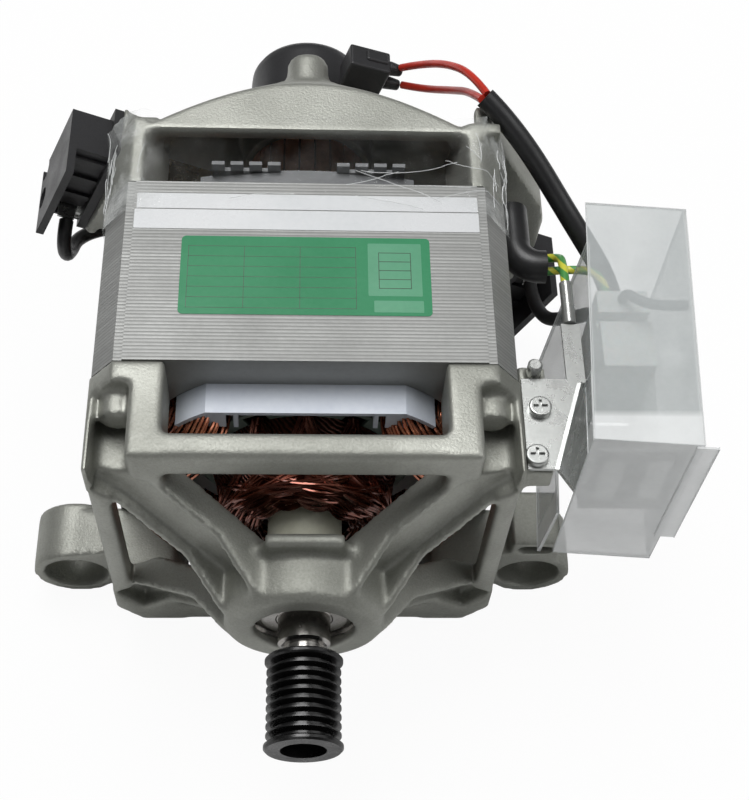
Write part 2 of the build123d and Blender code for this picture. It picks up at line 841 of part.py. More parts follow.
with BuildPart() as front_bracket:
    # Perimeter frame
    with BuildSketch(cross_plane(rail_rear)):
        quarters(outline)
        Rectangle(2 * rail_half_length, 2 * stack_half_height)
        fillet(
            vertices().filter_by(lambda v: abs(v.Y) > frame_half_height + seat_gap),
            rail_end_radius,
        )
        RectangleRounded(
            2 * frame_inner_half_width,
            2 * rail_inner_half_height,
            window_corner_radius,
            mode=Mode.SUBTRACT,
        )
    extrude(amount=rail_depth)
    fillet(front_bracket.faces().sort_by(Axis.Y)[0].outer_wire().edges(), rail_front_rounding)
    # Corner posts back to the stack
    with BuildSketch(cross_plane(stack_front)):
        quarters(post_outline)
        Circle(post_coil_clear_radius, mode=Mode.SUBTRACT)
    extrude(amount=stack_front - rail_front)
    # Bearing boss with its rim
    with BuildSketch(Plane.XY):
        with BuildLine():
            Polyline(
                (boss_mouth_radius, boss_front),
                (boss_radius - boss_edge, boss_front),
                (boss_radius, boss_front + boss_edge),
                (boss_radius, boss_rear - boss_rim_length),
                (boss_rim_radius, boss_rear - boss_rim_length),
                (boss_rim_radius, boss_rear),
                (boss_mouth_radius, boss_rear),
                close=True,
            )
        make_face()
    revolve(axis=Axis.Y)
    # Diagonal arms, each a channel with raised rims
    for angle in (arm_angle, 180 - arm_angle, 180 + arm_angle, -arm_angle):
        with BuildSketch(arm_plane(angle)):
            with BuildLine():
                Polyline(
                    (arm_root, arm_fin_front),
                    (boss_radius, arm_fin_front),
                    (arm_fin_reach, arm_front(arm_fin_reach)),
                    (arm_elbow, arm_elbow_front),
                    (arm_end, rail_front + arm_rim),
                    (arm_end, rail_rear),
                    (arm_elbow - rail_depth, rail_rear),
                    (arm_root, arm_back_root),
                    close=True,
                )
            make_face()
        extrude(amount=arm_half_width, both=True)
    for angle in (arm_angle, 180 - arm_angle, 180 + arm_angle, -arm_angle):
        with BuildSketch(arm_plane(angle)):
            with BuildLine():
                Polyline(
                    (boss_radius, arm_fin_front - overrun),
                    (boss_radius, arm_front(boss_radius) + arm_channel_depth),
                    (arm_elbow, arm_elbow_front + arm_channel_depth),
                    (arm_end + overrun, arm_elbow_front + arm_channel_depth + arm_rim),
                    (arm_end + overrun, arm_fin_front - overrun),
                    close=True,
                )
            make_face()
        extrude(amount=arm_half_width - arm_rim, both=True, mode=Mode.SUBTRACT)
    # Open pockets down the outside of the posts, the upper ones open into the arms
    pocket_rear = stack_front - pocket_flange
    pocket_width = pocket_outer - pocket_inner
    pocket_height = stack_half_height + overrun - pocket_floor
    pocket_centre = pocket_floor + pocket_height / 2
    for centre_z, pocket_front in ((pocket_centre, rail_front - arm_rim), (-pocket_centre, rail_rear)):
        with BuildSketch(cross_plane(pocket_rear)):
            with Locations((0, centre_z)):
                with GridLocations(pocket_inner + pocket_outer, 0, 2, 1):
                    RectangleRounded(pocket_width, pocket_height, arm_rim)
        extrude(amount=pocket_rear - pocket_front, mode=Mode.SUBTRACT)
    # Bolt bosses in the pockets
    with BuildSketch(cross_plane(stack_front)):
        with GridLocations(2 * bolt_x, 2 * bolt_z, 2, 2):
            Circle(bolt_boss_radius)
    extrude(amount=bolt_boss_length)
    # Mounting lugs and the webs that carry them
    with BuildSketch(cross_plane(stack_front)):
        for side in (-1, 1):
            with BuildLine():
                Polyline(
                    (side * frame_half_width, -side_window_half_height),
                    (side * lug_x, lug_radius - lug_z),
                    (side * lug_x, -lug_z - lug_radius),
                    (side * frame_shoulder_width, -stack_half_height + lug_web_inset),
                    (side * (frame_half_width - post_outer_wall), -stack_side_half_height),
                    close=True,
                )
            make_face()
    extrude(amount=stack_front - lug_front)
    with BuildSketch(cross_plane(lug_rear)):
        with Locations((-lug_x, -lug_z), (lug_x, -lug_z)):
            Circle(lug_radius)
        with Locations((lug_x, ear_top - (ear_height + ear_root) / 2)):
            Rectangle(ear_width, ear_height + ear_root)
    extrude(amount=lug_length)
    with BuildSketch(cross_plane(lug_rear + overrun)):
        with Locations((-lug_x, -lug_z), (lug_x, -lug_z)):
            Circle(lug_bore_radius)
    extrude(amount=lug_length + 2 * overrun, mode=Mode.SUBTRACT)
    # Pad for the galvanised bracket, threaded for its screws and its stud
    for pad_left, pad_right, pad_front, pad_rear in (
        (bracket_pad_left, bracket_pad_right, bracket_pad_front, stack_front),
        (frame_half_width, bracket_pad_right, stack_front - rail_depth, bracket_pad_rear),
    ):
        with BuildSketch(Plane.XY.offset(plate_top - plate_thickness)):
            with Locations(((pad_left + pad_right) / 2, (pad_front + pad_rear) / 2)):
                Rectangle(pad_right - pad_left, pad_rear - pad_front)
        extrude(amount=-bracket_pad_drop)
    with BuildSketch(Plane.XY.offset(plate_top - plate_thickness)):
        with Locations(*bracket_screw_places):
            Circle(bracket_screw_radius)
        with Locations((stud_x, stud_y)):
            Circle(stud_radius)
    extrude(amount=-stud_depth, mode=Mode.SUBTRACT)
    # Slot and hole in the right lug's ear
    with BuildSketch(cross_plane(lug_rear)):
        with Locations((lug_x, ear_top - ear_height / 2)):
            SlotCenterToCenter(ear_slot_length, 2 * ear_slot_radius)
    extrude(amount=lug_length, mode=Mode.SUBTRACT)
    # Bearing seat, and threads for the long bolts
    with BuildSketch(cross_plane(boss_rear + overrun)):
        Circle(front_bearing_outside / 2)
    extrude(amount=boss_rear + overrun - front_bearing_front, mode=Mode.SUBTRACT)
    with BuildSketch(cross_plane(front_bearing_front)):
        Circle(boss_mouth_radius)
    extrude(amount=boss_lip + overrun, mode=Mode.SUBTRACT)
    with BuildSketch(cross_plane(stack_front)):
        with GridLocations(2 * bolt_x, 2 * bolt_z, 2, 2):
            Circle(bolt_thread_radius)
    extrude(amount=bolt_thread_depth, mode=Mode.SUBTRACT)
save(front_bracket.part, "front_bracket")

# Rear bracket: a cone cut square by the stack's flats, on four corner posts
dome_hub_y = dome_apex_sum - hub_radius
dome_wall_along = dome_wall * math.sqrt(2)
dome_mouth = dome_front - overrun
dome_cone = turned(
    [
        (0, dome_mouth),
        (dome_apex_sum - dome_mouth, dome_mouth),
        (hub_radius, dome_hub_y),
        (0, dome_hub_y),
    ]
)
void_mouth = dome_mouth - overrun
void_cone = turned(
    [
        (0, void_mouth),
        (dome_apex_sum - dome_wall_along - void_mouth, void_mouth),
        (hub_radius, dome_hub_y - dome_wall_along),
        (0, dome_hub_y - dome_wall_along),
    ]
)
with BuildPart() as dome_void:
    with BuildSketch(cross_plane(hub_rear)):
        RectangleRounded(
            2 * (stack_half_width - dome_wall),
            2 * (stack_half_height - dome_wall),
            window_corner_radius,
        )
    extrude(amount=hub_rear - void_mouth)
    add(void_cone, mode=Mode.INTERSECT)
dome_outline = [
    (0, stack_half_height),
    (rear_window_half_width, stack_half_height),
    (stack_half_width, stack_side_half_height),
    (stack_half_width, 0),
    (0, 0),
]
rear_post_outline = [
    (rear_window_half_width, stack_half_height),
    (step_end, stack_half_height),
    (stack_half_width, stack_side_half_height),
    (stack_half_width, pocket_floor),
    (rear_window_half_width - rear_post_flange, pocket_floor),
]
foot_rear = dome_front + dome_wall
seat_middle = (seat_front + seat_rear) / 2
seat_inner = seat_distance - seat_thickness
with BuildPart() as rear_bracket:
    with BuildSketch(cross_plane(hub_rear)):
        quarters(dome_outline)
    extrude(amount=hub_rear - dome_front)
    add(dome_cone, mode=Mode.INTERSECT)
    add(dome_void.part, mode=Mode.SUBTRACT)
    # Corner posts with a solid foot against the stack
    with BuildSketch(cross_plane(foot_rear)):
        quarters(rear_post_outline)
    extrude(amount=foot_rear - stack_rear)
    # Upright fin at the upper right corner
    with BuildSketch(cross_plane(dome_front + fin_thickness)):
        with Locations(((fin_left + fin_right) / 2, (fin_top + fin_bottom) / 2)):
            Rectangle(fin_right - fin_left, fin_top - fin_bottom)
    extrude(amount=fin_thickness)
    # Wing that runs down the right side, pocketed from behind
    with BuildSketch(cross_plane(wing_front + wing_depth)):
        with BuildLine():
            Polyline(*wing_outline, wing_foot, wing_inner, close=True)
        make_face()
    extrude(amount=wing_depth)
    with BuildSketch(cross_plane(wing_front + wing_depth)):
        with BuildLine():
            Polyline(*wing_outline, wing_foot, wing_inner, close=True)
        make_face()
        offset(amount=-wing_wall, mode=Mode.REPLACE)
        with Locations((stack_half_width - dome_wall, 0)):
            Rectangle(2 * dome_wall, 2 * stack_half_height, mode=Mode.SUBTRACT)
    extrude(amount=wing_depth - wing_wall, mode=Mode.SUBTRACT)
    # Seats for the brush holders, flush with a cut through the corners
    for angle in (left_brush_angle, right_brush_angle):
        with BuildSketch(radial_plane(angle, seat_distance, seat_middle)):
            Rectangle(seat_rear - seat_front, 2 * seat_half_width)
        extrude(amount=overrun + overrun, mode=Mode.SUBTRACT)
        with BuildSketch(radial_plane(angle, seat_inner, seat_middle)):
            RectangleRounded(seat_rear - seat_front, 2 * seat_half_width, arm_rim)
        extrude(amount=seat_thickness)
        with BuildSketch(radial_plane(angle, seat_block_inner, seat_middle)):
            Rectangle(seat_rear - seat_front, 2 * (holder_half_height + seat_thickness))
        extrude(amount=seat_inner - seat_block_inner)
    # Hub for the rear bearing, and the pillar that locates the speed sensor
    with BuildSketch(cross_plane(hub_rear)):
        Circle(hub_radius)
    extrude(amount=hub_length)
    with BuildSketch(cross_plane(sensor_pillar_rear)):
        with Locations((0, sensor_pillar_z)):
            Circle(sensor_pillar_radius)
    extrude(amount=sensor_pillar_rear - sensor_pillar_front)
    with BuildSketch(cross_plane(hub_rear - dome_wall)):
        Circle(rear_bearing_outside / 2)
    extrude(amount=hub_rear - dome_wall - stack_rear, mode=Mode.SUBTRACT)
    with BuildSketch(cross_plane(sensor_pillar_rear + overrun)):
        Circle(rear_bearing_outside / 2 - hub_lip)
    extrude(amount=sensor_pillar_rear + overrun - stack_rear, mode=Mode.SUBTRACT)
    # Openings: brush gear, long bolts, vents and the left lead
    for angle in (left_brush_angle, right_brush_angle):
        with BuildSketch(radial_plane(angle, guide_inner, brush_y)):
            Rectangle(
                2 * (holder_half_depth + running_gap),
                2 * (holder_half_height + running_gap),
            )
        extrude(amount=holder_outer - guide_inner, mode=Mode.SUBTRACT)
        with BuildSketch(radial_plane(angle, seat_inner - overrun, brush_y)):
            with Locations(
                (-holder_screw_spread, holder_screw_perp),
                (holder_screw_spread, holder_screw_perp),
            ):
                Circle(holder_screw_radius)
        extrude(amount=holder_screw_length + overrun, mode=Mode.SUBTRACT)
    with BuildSketch(cross_plane(foot_rear)):
        with GridLocations(2 * bolt_x, 2 * bolt_z, 2, 2):
            Circle(bolt_hole_radius)
    extrude(amount=foot_rear - stack_rear, mode=Mode.SUBTRACT)
    with BuildSketch(cross_plane(seat_rear + overrun)):
        with GridLocations(2 * bolt_x, 2 * bolt_z, 2, 2):
            Circle(head_cut_radius)
    extrude(amount=seat_rear + overrun - foot_rear, mode=Mode.SUBTRACT)
    with BuildSketch(cross_plane(hub_rear)):
        for angle in lower_vent_angles:
            sector(vent_inner, vent_outer, angle - vent_sweep / 2, vent_sweep)
    extrude(amount=hub_rear - foot_rear, mode=Mode.SUBTRACT)
    with BuildSketch(Plane.YZ.offset(-stack_half_width - overrun)):
        with Locations((lead_vent_front + lead_vent_length / 2, -lead_vent_drop / 2)):
            RectangleRounded(lead_vent_length, lead_vent_drop, arm_rim)
    extrude(amount=dome_wall + 2 * overrun, mode=Mode.SUBTRACT)
save(rear_bracket.part, "rear_bracket")

# Long bolts from the rear bracket's feet into the front bracket
bolt_end = stack_front - bolt_thread_depth + seat_gap
with BuildPart() as through_bolts:
    with BuildSketch(cross_plane(foot_rear + bolt_head_height)):
        with GridLocations(2 * bolt_x, 2 * bolt_z, 2, 2):
            Circle(bolt_head_radius)
    extrude(amount=bolt_head_height)
    with BuildSketch(cross_plane(foot_rear)):
        with GridLocations(2 * bolt_x, 2 * bolt_z, 2, 2):
            Circle(bolt_radius)
    extrude(amount=foot_rear - bolt_end)
    with BuildSketch(cross_plane(foot_rear + bolt_head_height)):
        with GridLocations(2 * bolt_x, 2 * bolt_z, 2, 2):
            RegularPolygon(bolt_socket_radius, bolt_socket_sides)
    extrude(amount=bolt_socket_depth, mode=Mode.SUBTRACT)
save(through_bolts.part, "through_bolts")

# Dished spring washer between the rear bearing and the hub's lip
washer_points = [
    (washer_inner, hub_rear - dome_wall - washer_thickness),
    (washer_inner, hub_rear - dome_wall),
    (washer_outer, rear_bearing_rear + washer_thickness),
    (washer_outer, rear_bearing_rear),
]
save(turned(washer_points), "rear_spring_washer")

# Brush gear: the same five pieces on each side, half a turn apart
guide_half_depth = brush_width / 2 + brush_gap + guide_wall
guide_half_height = brush_height / 2 + brush_gap + guide_wall
brush_outer = brush_inner + brush_length
guide_floor = guide_outer - guide_wall
terminal_length = brush_y - terminal_front
spring_height = guide_floor - brush_outer - 2 * spring_wire_radius - 2 * seat_gap
with BuildPart() as spring_form:
    with BuildLine():
        turns = Helix(spring_height / spring_turns, spring_height, spring_coil_radius)
    with BuildSketch(Plane(origin=turns @ 0, z_dir=turns % 0)):
        Circle(spring_wire_radius)
    sweep(path=turns)
for side, angle in (("left", left_brush_angle), ("right", right_brush_angle)):
    with BuildPart() as brush:
        with BuildSketch(radial_plane(angle, brush_inner, brush_y)):
            Rectangle(brush_width, brush_height)
        extrude(amount=brush_length)
    save(brush.part, f"{side}_brush")

    with BuildPart() as spring:
        with Locations(radial_plane(angle, brush_outer + spring_wire_radius + seat_gap, brush_y)):
            add(spring_form.part)
    save(spring.part, f"{side}_brush_spring")

    with BuildPart() as guide:
        with BuildSketch(radial_plane(angle, guide_inner, brush_y)):
            Rectangle(2 * guide_half_depth, 2 * guide_half_height)
        extrude(amount=guide_outer - guide_inner)
        with BuildSketch(radial_plane(angle, guide_inner, brush_y)):
            Rectangle(2 * (guide_half_depth - guide_wall), 2 * (guide_half_height - guide_wall))
        extrude(amount=guide_floor - guide_inner, mode=Mode.SUBTRACT)
    save(guide.part, f"{side}_brush_guide")

    with BuildPart() as holder:
        with BuildSketch(radial_plane(angle, holder_inner, brush_y)):
            Rectangle(2 * holder_half_depth, 2 * holder_half_height)
        extrude(amount=holder_outer - holder_inner)
        # Flange on the bracket's seat
        with BuildSketch(radial_plane(angle, seat_distance, brush_y)):
            with Locations((0, (flange_long_side - flange_short_side) / 2)):
                Rectangle(2 * flange_half_depth, flange_long_side + flange_short_side)
        extrude(amount=flange_thickness)
        # Outer plate and the hood round the terminal
        with BuildSketch(radial_plane(angle, holder_outer - hood_thickness, brush_y)):
            with Locations(((hood_front + hood_rear) / 2 - brush_y, (hood_reach - holder_half_height) / 2)):
                Rectangle(hood_rear - hood_front, hood_reach + holder_half_height)
        extrude(amount=hood_thickness)
        hood_inner = terminal_distance - hood_thickness - terminal_width / 2
        with BuildSketch(radial_plane(angle, hood_inner, brush_y)):
            with Locations((0, (hood_reach + holder_half_height) / 2)):
                Rectangle(2 * holder_half_depth, hood_reach - holder_half_height)
        extrude(amount=holder_outer - hood_inner)
        # Ribs on the front face
        with BuildSketch(radial_plane(angle, seat_distance + flange_thickness, brush_y)):
            with GridLocations(0, rib_face_pitch, 1, rib_face_count):
                with Locations((-holder_half_depth, 0)):
                    Rectangle(2 * rib_face_height, rib_face_width)
        extrude(amount=holder_outer - hood_thickness - seat_distance - flange_thickness)
        # Room for the guide, the terminal and the screws
        with BuildSketch(radial_plane(angle, holder_inner, brush_y)):
            Rectangle(2 * guide_half_depth, 2 * guide_half_height)
        extrude(amount=guide_outer - holder_inner, mode=Mode.SUBTRACT)
        with BuildSketch(radial_plane(angle, terminal_distance - terminal_width / 2, brush_y)):
            with Locations((-terminal_length / 2, terminal_perp)):
                Rectangle(terminal_length, terminal_thickness)
        extrude(amount=terminal_width, mode=Mode.SUBTRACT)
        with BuildSketch(radial_plane(angle, seat_distance, brush_y)):
            with Locations(
                (-holder_screw_spread, holder_screw_perp),
                (holder_screw_spread, holder_screw_perp),
            ):
                Circle(holder_screw_radius)
        extrude(amount=flange_thickness, mode=Mode.SUBTRACT)
        with BuildSketch(radial_plane(angle, seat_distance + flange_thickness, brush_y)):
            with Locations(
                (-holder_screw_spread, holder_screw_perp),
                (holder_screw_spread, holder_screw_perp),
            ):
                Circle(holder_screw_head_radius + running_gap)
        extrude(amount=holder_outer, mode=Mode.SUBTRACT)
    save(holder.part, f"{side}_brush_holder")

    with BuildPart() as terminal:
        with BuildSketch(radial_plane(angle, terminal_distance - terminal_width / 2, brush_y)):
            with Locations((-terminal_length / 2, terminal_perp)):
                Rectangle(terminal_length, terminal_thickness)
        extrude(amount=terminal_width)
    save(terminal.part, f"{side}_brush_terminal")

with BuildPart() as holder_screws:
    for angle in (left_brush_angle, right_brush_angle):
        for spread in (-holder_screw_spread, holder_screw_spread):
            with BuildSketch(radial_plane(angle, seat_distance + flange_thickness, brush_y)):
                with Locations((spread, holder_screw_perp)):
                    Circle(holder_screw_head_radius)
            extrude(amount=holder_screw_head_height)
            with BuildSketch(radial_plane(angle, seat_distance + flange_thickness, brush_y)):
                with Locations((spread, holder_screw_perp)):
                    Circle(holder_screw_radius - seat_gap)
            extrude(amount=-holder_screw_length)
            slot_floor = seat_distance + flange_thickness + holder_screw_head_height - screw_slot_depth
            with BuildSketch(radial_plane(angle, slot_floor, brush_y)):
                with Locations((spread, holder_screw_perp)):
                    Rectangle(screw_slot_length, screw_slot_width)
                    Rectangle(screw_slot_width, screw_slot_length)
            extrude(amount=screw_slot_depth, mode=Mode.SUBTRACT)
save(holder_screws.part, "holder_screws")

# Speed sensor: cap with its terminal block, pick-up coil and magnet
with BuildPart() as sensor_cap:
    with BuildSketch(cross_plane(sensor_cap_rear)):
        Circle(sensor_cap_radius)
    extrude(amount=sensor_cap_rear - sensor_cap_front)
    with BuildSketch(cross_plane(arch_rear)):
        with Locations((0, sensor_pillar_z)):
            Circle(sensor_pillar_radius + arch_width)
    extrude(amount=arch_rear - sensor_cap_front)
    with BuildSketch(cross_plane(block_rear)):
        with Locations(((block_left + block_right) / 2, (block_bottom + block_top) / 2)):
            Rectangle(block_right - block_left, block_top - block_bottom)
    extrude(amount=block_rear - block_middle)
    with BuildSketch(cross_plane(block_middle)):
        with Locations(((block_step_x + block_right) / 2, (block_step_z + block_top) / 2)):
            Rectangle(block_right - block_step_x, block_top - block_step_z)
    extrude(amount=block_middle - block_front)
    with BuildSketch(cross_plane(sensor_cap_rear - sensor_cap_wall)):
        Circle(sensor_cap_radius - sensor_cap_wall)
    extrude(amount=sensor_cap_rear - sensor_cap_wall - sensor_cap_front, mode=Mode.SUBTRACT)
    with BuildSketch(cross_plane(sensor_pillar_rear + running_gap)):
        with Locations((0, sensor_pillar_z)):
            Circle(sensor_pillar_radius + running_gap)
    extrude(amount=sensor_pillar_rear + running_gap - sensor_cap_front, mode=Mode.SUBTRACT)
    fillet(sensor_cap.faces().sort_by(Axis.Y)[-1].edges(), nose_chamfer * 2)
save(sensor_cap.part, "sensor_cap")
with BuildPart() as sensor_coil:
    with BuildSketch(cross_plane(sensor_cap_rear - sensor_cap_wall)):
        Circle(sensor_ring_outer)
        Circle(sensor_ring_inner, mode=Mode.SUBTRACT)
    extrude(amount=sensor_ring_length)
save(sensor_coil.part, "sensor_coil")
with BuildPart() as sensor_magnet:
    with BuildSketch(cross_plane(magnet_front + magnet_length)):
        Circle(magnet_radius)
        Circle(shaft_rear_radius, mode=Mode.SUBTRACT)
    extrude(amount=magnet_length)
save(sensor_magnet.part, "sensor_magnet")
with BuildPart() as sensor_boots:
    for boot_y, boot_z, boot_end in (
        (upper_boot_y, upper_boot_z, upper_boot_end),
        (lower_boot_y, lower_boot_z, lower_boot_end),
    ):
        with BuildSketch(Plane.YZ.offset(block_right)):
            with Locations((boot_y, boot_z)):
                Circle(boot_radius)
        extrude(amount=boot_end - block_right)
save(sensor_boots.part, "sensor_boots")

# Galvanised bracket: top plate with its earth tab, slanted flange, shelf and front panel
plate_bottom = plate_top - plate_thickness
shelf_bottom = plate_top - flange_drop
shelf_top = shelf_bottom + plate_thickness
fold_direction = Vector(fold_rear[0] - fold_front[0], fold_rear[1] - fold_front[1], 0)
drop_direction = Vector(flange_foot_rear[0] - fold_rear[0], flange_foot_rear[1] - fold_rear[1], -flange_drop)
flange_plane = Plane(
    origin=(fold_front[0], fold_front[1], plate_top),
    x_dir=fold_direction,
    z_dir=fold_direction.cross(drop_direction),
)
flange_corners = [
    (fold_front[0], fold_front[1], plate_top),
    (fold_rear[0], fold_rear[1], plate_top),
    (flange_foot_rear[0], flange_foot_rear[1], shelf_bottom),
    (flange_foot_front[0], flange_foot_front[1], shelf_bottom),
]
flange_outline = []
for corner in flange_corners:
    flat = flange_plane.to_local_coords(Vector(*corner))
    flange_outline.append((flat.X, flat.Y))
with BuildPart() as connector_bracket:
    with BuildSketch(Plane.XY.offset(plate_bottom)):
        with BuildLine():
            Polyline(*plate_outline, close=True)
        make_face()
        tab_length = earth_tab_rear - fold_rear[1]
        with Locations((earth_tab_left + earth_tab_width / 2, fold_rear[1] + tab_length / 2)):
            Rectangle(earth_tab_width, tab_length)
    extrude(amount=plate_thickness)
    with BuildSketch(flange_plane):
        with BuildLine():
            Polyline(*flange_outline, close=True)
        make_face()
    extrude(amount=-plate_thickness)
    with BuildSketch(Plane.XY.offset(shelf_bottom)):
        with BuildLine():
            Polyline(*shelf_outline, close=True)
        make_face()
        slot_centre_x = (shelf_slot_left + shelf_slot_right) / 2
        with Locations((slot_centre_x, shelf_slot_front + shelf_slot_length / 2)):
            Rectangle(shelf_slot_right - shelf_slot_left, shelf_slot_length, mode=Mode.SUBTRACT)
    extrude(amount=plate_thickness)
    with BuildSketch(cross_plane(shelf_outline[1][1] + plate_thickness)):
        panel_height = panel_top - shelf_bottom
        panel_middle = (panel_left + panel_right) / 2
        with Locations((panel_middle, panel_top - panel_height / 2)):
            Rectangle(panel_right - panel_left, panel_height)
        with Locations((panel_middle, panel_cut_bottom + panel_cut_height / 2)):
            with GridLocations((panel_right - panel_left) / 2, 0, 2, 1):
                Rectangle(panel_cut_width, panel_cut_height, mode=Mode.SUBTRACT)
    extrude(amount=plate_thickness)
    with BuildSketch(Plane.XY.offset(plate_bottom)):
        with Locations(*bracket_screw_places):
            Circle(bracket_screw_radius + seat_gap)
    extrude(amount=plate_thickness, mode=Mode.SUBTRACT)
save(connector_bracket.part, "connector_bracket")

with BuildPart() as bracket_screws:
    with BuildSketch(Plane.XY.offset(plate_top)):
        with Locations(*bracket_screw_places):
            Circle(bracket_screw_head_radius)
    extrude(amount=bracket_screw_head_height)
    fillet(bracket_screws.faces().filter_by(Axis.Z).group_by(Axis.Z)[-1].edges(), nose_chamfer)
    with BuildSketch(Plane.XY.offset(plate_top)):
        with Locations(*bracket_screw_places):
            Circle(bracket_screw_radius)
    extrude(amount=-stud_depth)
    with BuildSketch(Plane.XY.offset(plate_top + bracket_screw_head_height - screw_slot_depth)):
        with Locations(*bracket_screw_places):
            Rectangle(screw_slot_length, screw_slot_width)
            Rectangle(screw_slot_width, screw_slot_length)
    extrude(amount=screw_slot_depth, mode=Mode.SUBTRACT)
save(bracket_screws.part, "bracket_screws")

with BuildPart() as bracket_stud:
    with BuildSketch(Plane.XY.offset(plate_bottom + stud_rise)):
        with Locations((stud_x, stud_y)):
            Circle(stud_radius)
    extrude(amount=-stud_rise - stud_depth)
    chamfer(bracket_stud.edges().group_by(Axis.Z)[-1], nose_chamfer)
save(bracket_stud.part, "bracket_stud")

# Connector block, its cavities open downwards, and its blade pins
connector_top = shelf_top + connector_height
connector_x = connector_left + connector_width / 2
connector_y = connector_front + connector_length / 2
cavity_pitch = connector_length / connector_cavity_count
pin_top = shelf_top + pin_height
with BuildPart() as connector_block:
    with BuildSketch(Plane.XY.offset(shelf_top)):
        with Locations((connector_x, connector_y)):
            Rectangle(connector_width, connector_length)
    extrude(amount=connector_height)
    with BuildSketch(Plane.XY.offset(connector_top)):
        with Locations((connector_x, connector_groove_y)):
            Rectangle(connector_width, connector_groove_width)
    extrude(amount=-connector_groove_depth, mode=Mode.SUBTRACT)
    with BuildSketch(Plane.XY.offset(shelf_top)):
        with Locations((connector_x, connector_y)):
            with GridLocations(0, cavity_pitch, 1, connector_cavity_count):
                Rectangle(connector_cavity_width, connector_cavity_length)
    extrude(amount=connector_cavity_depth, mode=Mode.SUBTRACT)
    with BuildSketch(Plane.XY.offset(shelf_top)):
        with Locations((connector_x, connector_y)):
            with GridLocations(0, cavity_pitch, 1, connector_cavity_count):
                Rectangle(pin_width, pin_thickness)
    extrude(amount=pin_top - shelf_top, mode=Mode.SUBTRACT)
save(connector_block.part, "connector_block")
with BuildPart() as connector_pins:
    with BuildSketch(Plane.XY.offset(shelf_top + pin_thickness)):
        with Locations((connector_x, connector_y)):
            with GridLocations(0, cavity_pitch, 1, connector_cavity_count):
                Rectangle(pin_width, pin_thickness)
    extrude(amount=pin_height - pin_thickness)
save(connector_pins.part, "connector_pins")

# Clear cover, turned a little and open below and behind
turn_across = math.cos(math.radians(cover_turn))
turn_along = math.sin(math.radians(cover_turn))
cover_plane = Plane(
    origin=(cover_left, cover_front, cover_top),
    x_dir=(turn_across, -turn_along, 0),
    z_dir=(0, 0, 1),
)
flap_plane = Plane(
    origin=(cover_left, cover_front, cover_top),
    x_dir=(turn_across, -turn_along, 0),
    z_dir=(turn_along, turn_across, 0),
)
with BuildPart() as clear_cover:
    with BuildSketch(cover_plane):
        Rectangle(cover_width, cover_length, align=(Align.MIN, Align.MIN))
    extrude(amount=-cover_wall)
    with BuildSketch(cover_plane):
        Rectangle(cover_width, cover_wall, align=(Align.MIN, Align.MIN))
        with Locations((cover_width - cover_wall, 0)):
            Rectangle(cover_wall, cover_length, align=(Align.MIN, Align.MIN))
    extrude(amount=-cover_drop)
    with BuildSketch(flap_plane):
        with BuildLine():
            Polyline(
                (0, 0),
                (cover_wall, 0),
                (cover_wall - cover_flare, cover_drop),
                (-cover_flare, cover_drop),
                close=True,
            )
        make_face()
    extrude(amount=cover_length)
    # Glue tab across the front right corner
    with BuildSketch(cover_plane.offset(-cover_wall)):
        with Locations((cover_width - flap_width / 3, -cover_wall)):
            Rectangle(flap_width, cover_wall, align=(Align.MIN, Align.MIN))
    extrude(amount=-flap_drop)
    # Notch for the bracket's plate, and the rear of the flap left off for the leads
    with BuildSketch(cover_plane.offset(-cover_wall)):
        with Locations((-2 * cover_flare, -cover_wall)):
            Rectangle(
                2 * cover_flare,
                cover_notch_rear - cover_front,
                align=(Align.MIN, Align.MIN),
            )
    extrude(amount=cover_notch_bottom - cover_top + cover_wall, mode=Mode.SUBTRACT)
    with BuildSketch(cover_plane.offset(-cover_wall)):
        with Locations((-2 * cover_flare, cover_flap_length)):
            Rectangle(
                2 * cover_flare + cover_wall,
                cover_length,
                align=(Align.MIN, Align.MIN),
            )
    extrude(amount=-cover_drop, mode=Mode.SUBTRACT)
save(clear_cover.part, "clear_cover")

# Thermal protector, tied on the rear end of the right field coil
with BuildPart() as thermal_protector:
    with BuildSketch(cross_plane(coil_rear + protector_length)):
        with Locations(((coil_inner_radius + coil_outer_radius) / 2, 0)):
            RectangleRounded(protector_height, protector_width, nose_chamfer)
    extrude(amount=protector_length)
save(thermal_protector.part, "thermal_protector")


def lead(points, radius, name, bend=None):
    """Sweeps a round lead along straight runs that are joined by tangent arcs."""
    corners = [Vector(*point) for point in points]
    radii = []
    for before, corner, after in zip(corners, corners[1:], corners[2:]):
        half_turn = math.radians((corner - before).get_angle(after - corner)) / 2
        shorter = min((corner - before).length, (after - corner).length)
        radii.append(bend or bend_share * shorter / math.tan(half_turn))
    with BuildPart() as swept:
        with BuildLine() as route:
            FilletPolyline(*points, radius=radii)
        run = route.wire()
        with BuildSketch(Plane(origin=run @ 0, z_dir=run % 0)):
            Circle(radius)
        sweep(path=run)
    section = math.pi * radius**2
    bends = [round(value, 1) for value in radii]
    print(name, "bends", bends, "volume share", round(swept.part.volume / section / run.length, 3))
    return swept.part


